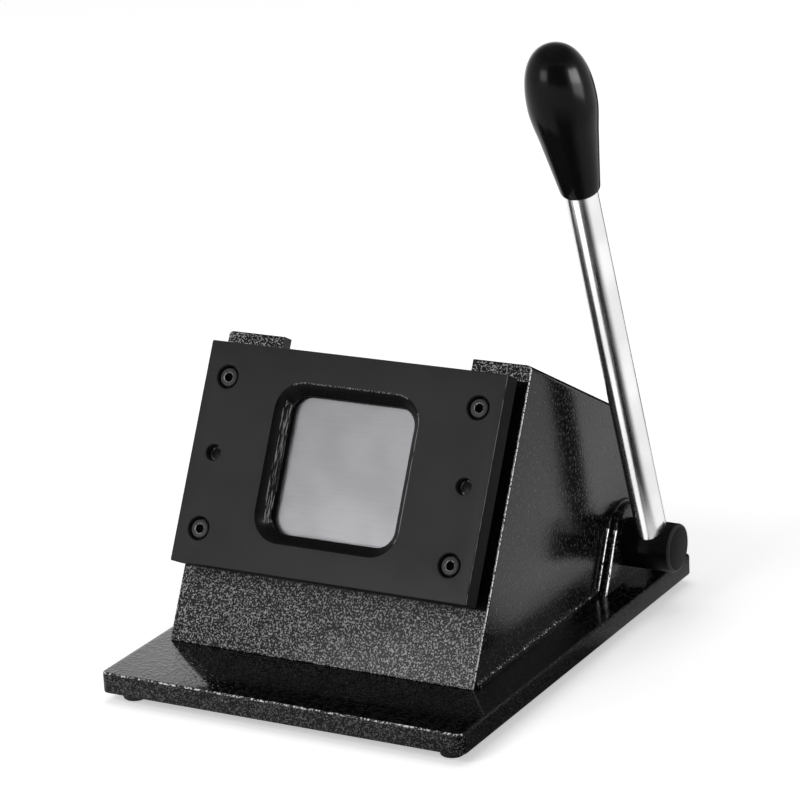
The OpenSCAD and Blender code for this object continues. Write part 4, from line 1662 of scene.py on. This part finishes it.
    def dowels(self) -> Thing:
        """Models one dowel pin with broken ends and copies it to the other side.

        Returns:
            The two pins.
        """
        r = self.dowel_d / 2
        pin = Bench.turned([(r - 0.6, self.dowel_low), (r, self.dowel_low + 0.6), (r, self.dowel_top - 0.6),
                            (r - 0.25, self.dowel_top - 0.2), (r - 0.9, self.dowel_top)], 48)
        # pale patches on the pin's chamfer: a painted glint
        self.wear(pin, lambda face: self.pin_glint if 0.3 < face.normal.z < 0.97 else 0.0)
        return Bench.smooth(Bench.joined(Bench.copies(pin, self.dowel_places)))

    def build(self) -> None:
        """Builds the die plate, screws and dowels and dresses them and the guide plate."""
        front = self.layout.matrix(Place.FRONT)
        plate = self.plate()
        self.sort_faces(plate, lambda face: self.number(face.center, face.normal))
        self.wear(plate, lambda face: self.rubbed(face.center, face.normal))
        Bench.settle(Bench.smooth(plate), front)
        self.finish(plate, "die_plate", "die_steel", Body.FRAME, self.oxide, self.shaded_side_oxide, self.shaded_wall_oxide)
        seats = [(x, y, self.screw_seat) for x, y, _ in self.layout.corners(self.screw_x, self.screw_y)]
        screws = Bench.joined(Bench.copies(self.screw(self.m4), seats))
        self.finish(Bench.settle(screws, front), "die_screws", "black_screw", Body.FRAME, self.black, self.socket)
        self.finish(Bench.settle(self.dowels(), front), "dowel_pins", "black_screw", Body.FRAME, self.shaded_pin_black)
        self.paint(self.guide_oxide, "guide_plate")


@dataclass
class RamAssembly(SubAssembly):
    """Punch, ram and guide rods inside the housing, with the two return springs."""

    guide_x: float = 40.0
    spring_front: float = -14.95
    spring_rear: float = -33.55
    spring_d: float = 14.0
    wire_d: float = 1.6
    turns: int = 6
    turn_parts: int = 24
    close: float = 0.25
    stroke: float = 4.712
    ground: BareMetal = BareMetal("ground_steel", (0.27, 0.27, 0.28), 0.42, (60.0, 3200.0, 3200.0), depth=0.002)
    oxide: BlackOxide = BlackOxide("ram_oxide", (0.020, 0.020, 0.021))
    wire: BareMetal = BareMetal("spring_wire", (0.36, 0.36, 0.38), 0.30, (900.0, 900.0, 900.0))

    def spring(self) -> Thing:
        """Models one return spring: wire along a helix whose end turns lie closer together.

        Returns:
            The spring, from the front wall backwards.
        """
        Bench.clear()
        steps = self.turns * self.turn_parts
        curve = bpy.data.curves.new("spring", "CURVE")
        curve.dimensions = "3D"
        curve.bevel_depth = self.wire_d / 2
        curve.bevel_resolution = 3
        curve.use_fill_caps = True
        line = curve.splines.new("POLY")
        line.points.add(steps)
        for number, point in enumerate(line.points):
            t = number / steps
            turn = 2 * math.pi * self.turns * t
            share = t - self.close * math.sin(2 * math.pi * t) / (2 * math.pi)
            high = self.spring_front + (self.spring_rear - self.spring_front) * share
            point.co = (self.spring_d / 2 * math.cos(turn), self.spring_d / 2 * math.sin(turn), high, 1.0)
        thing = bpy.data.objects.new("spring", curve)
        bpy.context.collection.objects.link(thing)
        Bench.hold(thing)
        bpy.ops.object.convert(target="MESH")
        return Bench.smooth(Bench.outward(bpy.context.active_object), 50.0)

    def build(self) -> None:
        """Builds the springs and dresses them and the pieces that keep their shape."""
        lay = self.layout
        axis = lay.matrix(Place.FRONT).to_3x3() @ Vector((0, 0, 1))
        end = self.wire_d / 2
        places = ((-self.guide_x, "return_spring_left"), (self.guide_x, "return_spring_right"))
        made = Bench.copies(self.spring(), [(x, 0.0, 0.0) for x, _ in places])
        for thing, (x, name) in zip(made, places):
            Bench.settle(thing, lay.matrix(Place.FRONT))
            self.finish(thing, name, "spring_steel", Body.FRAME, self.wire)
            anchor = lay.metres(Place.FRONT, (x, 0.0, self.spring_front + end))
            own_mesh(thing)
        self.paint(self.ground, "punch", "push_stem", "guide_rods")
        self.paint(self.oxide, "ram_plate", "punch_screws")
        self.paint(self.wire, "rod_clips")


@dataclass
class LeverAssembly(SubAssembly):
    """Cross shaft with its cam and rings, the chrome lever rod and the knob."""

    chamfer: float = 1.0
    ring_x: float = 57.2
    ring_t: float = 1.5
    groove: float = 0.8
    rod_d: float = 12.0
    rod_seat: float = 4.5
    rod_len: float = 164.0
    spigot_d: float = 8.0
    spigot_h: float = 10.0
    thread_d: float = 9.0
    thread_h: float = 28.0
    knob_len: float = 59.9
    knob_d: float = 25.0
    knob_foot_d: float = 14.4
    knob_neck_d: float = 21.2
    knob_neck_h: float = 23.0
    knob_wide_h: float = 37.0
    knob_dome_full: float = 2.4
    belly_parts: int = 12
    dome_parts: int = 25
    key_w: float = 5.0
    cam_w: float = 18.0
    key_deg: float = 30.0
    black: BlackOxide = BlackOxide("shaft_black", (0.004, 0.004, 0.004), rough=0.34, specular=0.06)
    # the shaft's end face is a lighter, lit copy of its black, and its rim chamfer lighter still as a painted highlight
    # line
    lit_end_black: BlackOxide = BlackOxide("shaft_end_black", (0.014, 0.014, 0.014), rough=0.5, specular=0.03)
    painted_rim_highlight: BlackOxide = BlackOxide("shaft_rim_black", (0.045, 0.045, 0.046), rough=0.4, specular=0.06)
    chrome: BareMetal = BareMetal("lever_chrome", (0.92, 0.92, 0.925), 0.25, (900.0, 40.0, 40.0), depth=0.002)
    plastic: Moulded = Moulded("knob_plastic", (0.005, 0.005, 0.0055), 0.20, 60.0, 0.15, 0.09)
    ground: BareMetal = BareMetal("cam_steel", (0.52, 0.52, 0.53), 0.34, (2600.0, 60.0, 60.0))
    zinc: BareMetal = BareMetal("key_zinc", (0.55, 0.56, 0.57), 0.36, (500.0, 500.0, 500.0))
    wire: BareMetal = BareMetal("ring_steel", (0.36, 0.36, 0.38), 0.30, (700.0, 700.0, 700.0))
    bronze: BareMetal = BareMetal("bush_bronze", (0.50, 0.34, 0.15), 0.38, (800.0, 800.0, 800.0))

    def shaft(self) -> Thing:
        """Models the shaft with its ring grooves, key seat and the lever's hole.

        Returns:
            The shaft.
        """
        lay = self.layout
        r, c = lay.shaft_d / 2, self.chamfer
        low, high = c / 2 - lay.boss_face, lay.shaft_end
        profile = [(r - c, low), (r, low + c)]
        for start in (-self.ring_x - self.ring_t, self.ring_x):
            first, last = start - lay.seat_gap, start + self.ring_t + lay.seat_gap
            profile += [(r, first), (r - self.groove, first), (r - self.groove, last), (r, last)]
        profile += [(r, high - c), (r - 0.3 * c, high - 0.3 * c), (r - c, high)]
        shaft = Bench.settle(Bench.turned(profile, 128), lay.matrix(Place.SHAFT))
        rod, spigot = self.rod_d / 2 + lay.seat_gap, self.spigot_d / 2 + lay.seat_gap
        tool = Bench.turned([(spigot, self.rod_seat - self.spigot_h - 0.1), (spigot, self.rod_seat),
                             (rod, self.rod_seat), (rod, 2 * r)], 96)
        Bench.cut(shaft, Bench.settle(tool, lay.matrix(Place.LEVER)))
        size, wide = self.key_w / 2 + lay.seat_gap, self.cam_w / 2 + lay.seat_gap
        key = Bench.block((-wide, -size, r - size), (wide, size, r + size))
        turn = Matrix.Translation((0, 0, -lay.shaft_back)) @ Matrix.Rotation(-math.radians(self.key_deg), 4, "X")
        Bench.cut(shaft, Bench.settle(key, lay.matrix(Place.FRONT) @ turn))
        chamfer = lay.house_x + lay.shaft_end - c
        # faces sorted into 0 the shaft, 1 the lit end face, 2 the rim chamfer with its painted highlight
        self.sort_faces(shaft, lambda face: 0 if face.center.x < chamfer else 1 if face.normal.x > 0.95 else 2)
        return Bench.smooth(shaft)

    def rod(self) -> Thing:
        """Models the lever rod with its spigot in the shaft and its thread in the knob.

        Returns:
            The rod.
        """
        r, spigot, thread = self.rod_d / 2, self.spigot_d / 2, self.thread_d / 2
        seat, top = self.rod_seat, self.rod_len
        rod = Bench.turned([(spigot - 0.4, seat - self.spigot_h), (spigot, seat - self.spigot_h + 0.4),
                            (spigot, seat), (r - 0.3, seat), (r, seat + 0.3), (r, top / 2), (r, top - 0.3),
                            (r - 0.3, top), (thread, top), (thread, top + self.thread_h - 0.6),
                            (thread - 0.6, top + self.thread_h)], 128)
        return Bench.settle(Bench.smooth(rod), self.layout.matrix(Place.LEVER))

    def knob(self) -> Thing:
        """Models the pear-shaped knob: rounded foot, straight taper, smooth belly and dome.

        Returns:
            The knob on the end of the rod.
        """
        foot, neck, wide = self.knob_foot_d / 2, self.knob_neck_d / 2, self.knob_d / 2
        slope = (neck - foot) / self.knob_neck_h
        belly_h, dome_h = self.knob_wide_h - self.knob_neck_h, self.knob_len - self.knob_wide_h
        profile = [(foot - 0.7, 0.0), (foot - 0.3, 0.12), (foot - 0.06, 0.45), (foot + 1.1 * slope, 1.1)]
        profile += [(foot + slope * h, h) for h in (4.0, 8.0, 12.0, 16.0, 20.0)]
        for i in range(self.belly_parts):
            t = i / self.belly_parts
            radius = ((2 * t ** 3 - 3 * t ** 2 + 1) * neck + (t ** 3 - 2 * t ** 2 + t) * belly_h * slope
                      + (3 * t ** 2 - 2 * t ** 3) * wide)
            profile.append((radius, self.knob_neck_h + t * belly_h))
        for i in range(self.dome_parts):
            turn, power = math.pi / 2 * i / self.dome_parts, 2 / self.knob_dome_full
            profile.append((wide * math.cos(turn) ** power, self.knob_wide_h + dome_h * math.sin(turn) ** power))
        profile.append((0.0, self.knob_len))
        knob = Bench.turned(profile, 96)
        hole = self.thread_d / 2 + self.layout.seat_gap
        Bench.cut(knob, Bench.turned([(hole, -1.0), (hole, self.thread_h + 0.1)], 64))
        move = self.layout.matrix(Place.LEVER) @ Matrix.Translation((0, 0, self.rod_len))
        return Bench.settle(Bench.smooth(knob, 40.0), move)

    def build(self) -> None:
        """Builds the shaft, rod and knob and dresses them and what turns with them."""
        self.finish(self.shaft(), "lever_shaft", "shaft_black", Body.LEVER, self.black, self.lit_end_black,
                    self.painted_rim_highlight)
        self.finish(self.rod(), "lever_rod", "lever_chrome", Body.LEVER, self.chrome)
        self.finish(self.knob(), "knob", "knob_plastic", Body.LEVER, self.plastic)
        self.paint(self.ground, "cam")
        self.paint(self.zinc, "cam_key")
        self.paint(self.wire, "shaft_rings")
        self.paint(self.bronze, "bush_left", "bush_right")


@dataclass(frozen=True)
class Softbox:
    """One soft lamp: where it hangs, what it points at, its sides in metres and its radiance.

    Its second side runs as nearly as it can along a direction, and a gleam shows up to the ray depth deepest, which
    counts one more for a lamp than for a card.
    """

    name: str
    place: Point
    aim: Point
    sides: tuple[float, float]
    radiance: float
    along: Point = (0.0, 0.0, 1.0)
    is_gleam: bool = False
    deepest: float = 2.5

    def hang(self) -> None:
        """Adds the lamp: a gleam shows in first reflections alone, another lamp in none, as cards stand in for it."""
        lamp = bpy.data.lights.new(self.name, "AREA")
        lamp.shape = "RECTANGLE"
        lamp.size, lamp.size_y = self.sides
        lamp.energy = self.radiance * math.pi * self.sides[0] * self.sides[1]
        thing = bpy.data.objects.new(self.name, lamp)
        bpy.context.collection.objects.link(thing)
        back = (Vector(self.place) - Vector(self.aim)).normalized()
        side = Vector(self.along).cross(back).normalized()
        turned = Matrix((side, back.cross(side), back)).transposed().to_4x4()
        turned.translation = Vector(self.place)
        thing.matrix_world = turned
        thing.visible_glossy = self.is_gleam
        if self.is_gleam:
            thing.visible_camera = False
            thing.visible_diffuse = False
            self.limit(lamp)

    def limit(self, lamp: bpy.types.Light) -> None:
        """Lets the lamp show in a reflection, but not in the reflection of a reflection.

        Args:
            lamp: the lamp's data.
        """
        lamp.use_nodes = True
        wires = Wiring(lamp.node_tree, "ShaderNodeOutputLight")
        first = wires.maths("LESS_THAN", wires.ray("Ray Depth"), self.deepest)
        wires.put(wires.end, wires.feed(wires.node("ShaderNodeEmission"), Strength=first).outputs[0])


@dataclass(frozen=True)
class Card:
    """A card that only first reflections show: its corners in metres, anticlockwise on its front, and its glow.

    A ray that is deeper than deepest sees it black.
    """

    name: str
    corners: Sequence[Point]
    white: float = 0.0
    deepest: float = 1.5

    def hang(self) -> None:
        """Adds the card, clear from behind, and keeps it out of sight, shadow and soft light."""
        Bench.clear()
        bpy.ops.mesh.primitive_plane_add(size=1.0)
        card = bpy.context.active_object
        card.name = self.name
        order = (self.corners[0], self.corners[1], self.corners[3], self.corners[2])
        for point, place in zip(card.data.vertices, order):
            point.co = place
        wires = Skin(self.name)
        first = wires.maths("LESS_THAN", wires.ray("Ray Depth"), self.deepest)
        front = wires.feed(wires.node("ShaderNodeEmission"), Strength=wires.maths("MULTIPLY", first, self.white))
        behind = wires.node("ShaderNodeNewGeometry").outputs["Backfacing"]
        clear = wires.node("ShaderNodeBsdfTransparent")
        wires.put(wires.end, wires.mixed(behind, front.outputs[0], clear.outputs[0]))
        card.data.materials.append(wires.material)
        card.visible_camera = False
        card.visible_diffuse = False
        card.visible_shadow = False


@dataclass
class Studio:
    """Pale floor, white backdrop, soft lamps, cards for the reflections and the camera; lengths in metres."""

    layout: Layout
    camera_at: Point = (0.58665, -1.04658, 0.47898)
    right: Point = (0.87711, 0.47832, -0.0434)
    up: Point = (-0.10922, 0.28664, 0.95179)
    back: Point = (0.4677, -0.83009, 0.30366)
    lens: float = 152.503
    sensor: float = 36.0
    clip: tuple[float, float] = (0.05, 20.0)
    floor_side: float = 6.0
    floor_white: float = 0.90
    floor_near: float = 0.48
    floor_far: float = 0.62
    floor_reach: tuple[float, float] = (0.2, 0.9)
    ambient: float = 0.33
    zenith: float = 0.25
    sky: tuple[float, float] = (0.30, 0.75)
    lamps: Sequence[Softbox] = field(default_factory=lambda: (
        Softbox("lamp_front", (-0.25, -1.0, 0.80), (0.0, 0.0, 0.08), (0.5, 0.5), 6.0),
        Softbox("lamp_top", (-0.10, 0.05, 1.20), (0.0, 0.0, 0.05), (0.9, 0.9), 1.3),
        Softbox("lamp_knob", (0.183, -0.007, 0.2405), (0.0, -0.007, 0.2405), (0.07, 0.045), 25.0, is_gleam=True),
        Softbox("lamp_knob_low", (0.183, -0.001, 0.2015), (0.0, -0.001, 0.2015), (0.07, 0.033), 9.0, is_gleam=True),
    ))
    cards: Sequence[Card] = field(default_factory=lambda: (
        Card("card_front", ((0.95, -0.42, 0.02), (-0.08, -0.95, 0.02), (-0.08, -0.95, 0.75), (0.95, -0.42, 0.75))),
        Card("card_right", ((1.02, 0.37, 0.02), (1.02, -0.33, 0.02), (1.02, -0.33, 0.62), (1.02, 0.37, 0.62)), 1.7),
        Card("card_left", ((-0.061, -1.034, 0.09), (-0.539, -0.886, 0.09), (-0.539, -0.886, 0.47),
                           (-0.061, -1.034, 0.47)), 10.0),
        Card("card_back", ((-0.70, 0.45, 0.02), (-0.20, 0.75, 0.02), (-0.20, 0.75, 0.50), (-0.70, 0.45, 0.50)), 1.6),
        Card("card_rear", ((-0.13, 0.30, 0.0), (0.10, 0.30, 0.0), (0.10, 0.30, 0.20), (-0.13, 0.30, 0.20))),
    ))
    strip_at: Point = (-1.2, -11.0, 83.5)
    strip_facing: tuple[float, float] = (0.794, 0.608)
    strip_sides: tuple[float, float] = (0.006, 0.161)
    strip_glow: float = 1.15
    shade_at: tuple[float, float] = (0.0695, 0.075)
    shade_stops: Profile = ((-100.0, 1.0), (-86.0, 0.0), (-62.0, 0.0), (-18.0, 1.0), (72.0, 1.0), (86.0, 0.35),
                            (105.0, 0.35), (125.0, 1.0))
    shade_near: tuple[float, float] = (0.04, 0.06)
    shade_far: tuple[float, float] = (0.25, 0.35)

    def strip(self) -> Softbox:
        """Gives the narrow lamp along the lever's left front, for the white stripe on the chrome.

        Returns:
            The lamp, not yet hung.
        """
        turn = self.layout.matrix(Place.LEVER).to_3x3()
        place = self.layout.metres(Place.LEVER, self.strip_at)
        aim = place + turn @ Vector((*self.strip_facing, 0.0))
        along = turn @ Vector((0.0, 0.0, 1.0))
        return Softbox("lamp_lever", tuple(place), tuple(aim), self.strip_sides, self.strip_glow, tuple(along), True)

    def shade(self, wires: Wiring, spot: Socket) -> Socket:
        """Gives the floor's brightness, which reflections show darker in two sectors by the lever's foot.

        The sectors make the dark stripe and the grey right edge of the chrome.

        Args:
            wires: the floor's node tree.
            spot: the place on the floor.

        Returns:
            The brightness: 1 for all other rays.
        """
        away = wires.node("ShaderNodeVectorMath", operation="SUBTRACT")
        away = wires.fill(away, spot, (*self.shade_at, 0.0)).outputs["Vector"]
        parts = wires.feed(wires.node("ShaderNodeSeparateXYZ"), Vector=away)
        turn = wires.maths("ARCTAN2", parts.outputs["Y"], parts.outputs["X"])
        sectors = wires.node("ShaderNodeValToRGB")
        wires.feed(sectors, Fac=wires.maths("ADD", wires.maths("MULTIPLY", turn, 0.5 / math.pi), 0.5))
        ramp = sectors.color_ramp
        ramp.interpolation = "EASE"
        ramp.elements.remove(ramp.elements[0])
        for number, (degrees, tone) in enumerate(self.shade_stops):
            place = 0.5 + degrees / 360.0
            stop = ramp.elements.new(place) if number else ramp.elements[0]
            stop.position, stop.color = place, (tone, tone, tone, 1.0)
        far = wires.length(away)
        near, beyond = (wires.span(far, *limits, 0.0, 1.0, is_soft=False)
                        for limits in (self.shade_near[::-1], self.shade_far))
        total = sectors.outputs["Color"]
        for value in (near, beyond, wires.maths("SUBTRACT", 1.0, wires.ray("Is Glossy Ray"))):
            total = wires.maths("MAXIMUM", total, value)
        return total

    def floor(self) -> None:
        """Adds the floor, which takes the shadow and looks white where it is fully lit or far away."""
        Bench.clear()
        bpy.ops.mesh.primitive_grid_add(x_subdivisions=4, y_subdivisions=4, size=self.floor_side)
        floor = bpy.context.active_object
        floor.name = "floor"
        wires = Skin("floor_white")
        spot = wires.node("ShaderNodeTexCoord").outputs["Object"]
        shade = self.shade(wires, spot)
        white = wires.node("ShaderNodeVectorMath", operation="SCALE")
        wires.feed(white, Vector=[self.floor_white] * 3, Scale=shade)
        cloth = wires.feed(wires.node("ShaderNodeBsdfDiffuse"), Color=white.outputs["Vector"])
        reach = wires.span(wires.length(spot), *self.floor_reach, self.floor_near, self.floor_far, is_soft=False)
        tone = wires.feed(wires.node("ShaderNodeCombineXYZ"), X=shade, Y=shade, Z=shade)
        glow = wires.feed(wires.node("ShaderNodeEmission"), Color=tone.outputs[0],
                          Strength=wires.maths("MULTIPLY", self.seen(wires), reach))
        both = wires.fill(wires.node("ShaderNodeAddShader"), cloth.outputs[0], glow.outputs[0])
        wires.put(wires.end, both.outputs[0])
        floor.data.materials.append(wires.material)

    def seen(self, wires: Wiring) -> Socket:
        """Gives 1 for rays that show the background: camera, glossy and transmission rays."""
        glossy = wires.maths("MAXIMUM", wires.ray("Is Camera Ray"), wires.ray("Is Glossy Ray"))
        return wires.maths("MAXIMUM", glossy, wires.ray("Is Transmission Ray"))

    def backdrop(self) -> None:
        """Makes the world soft light that looks white, and darker overhead in reflections."""
        world = bpy.data.worlds.new("studio")
        bpy.context.scene.world = world
        world.use_nodes = True
        wires = Wiring(world.node_tree, "ShaderNodeOutputWorld")
        way = wires.node("ShaderNodeTexCoord").outputs["Generated"]
        height = wires.feed(wires.node("ShaderNodeSeparateXYZ"), Vector=way).outputs["Z"]
        sky = wires.span(height, *self.sky, 1.0, self.zenith, is_soft=False)
        shown = wires.maths("MAXIMUM", sky, wires.ray("Is Camera Ray"))
        light, white = (wires.feed(wires.node("ShaderNodeBackground"), Color=(1.0, 1.0, 1.0, 1.0), Strength=strength)
                        for strength in (self.ambient, shown))
        wires.put(wires.end, wires.mixed(self.seen(wires), light.outputs[0], white.outputs[0]))

    def camera(self) -> None:
        """Adds the camera at the photograph's viewing angle."""
        camera = bpy.data.cameras.new("camera")
        camera.lens = self.lens
        camera.sensor_width = self.sensor
        camera.sensor_fit = "HORIZONTAL"
        camera.clip_start, camera.clip_end = self.clip
        thing = bpy.data.objects.new("camera", camera)
        bpy.context.collection.objects.link(thing)
        turned = Matrix((self.right, self.up, self.back)).transposed().to_4x4()
        turned.translation = Vector(self.camera_at)
        thing.matrix_world = turned
        bpy.context.scene.camera = thing

    def build(self) -> None:
        """Sets up floor, backdrop, lamps, camera and the plain view transform."""
        self.floor()
        self.backdrop()
        for part in (*self.lamps, self.strip(), *self.cards):
            part.hang()
        self.camera()
        bpy.context.scene.view_settings.view_transform = "Standard"


def main() -> None:
    """Loads the frame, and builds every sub-assembly and the studio."""
    logging.basicConfig(level=logging.INFO, format="%(message)s")
    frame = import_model()
    layout = Layout()
    Studio(layout).build()
    for kind in (BaseAssembly, HousingAssembly, DieAssembly, RamAssembly, LeverAssembly):
        kind(layout, frame["nodes"]).build()


if __name__ == "__main__":
    main()
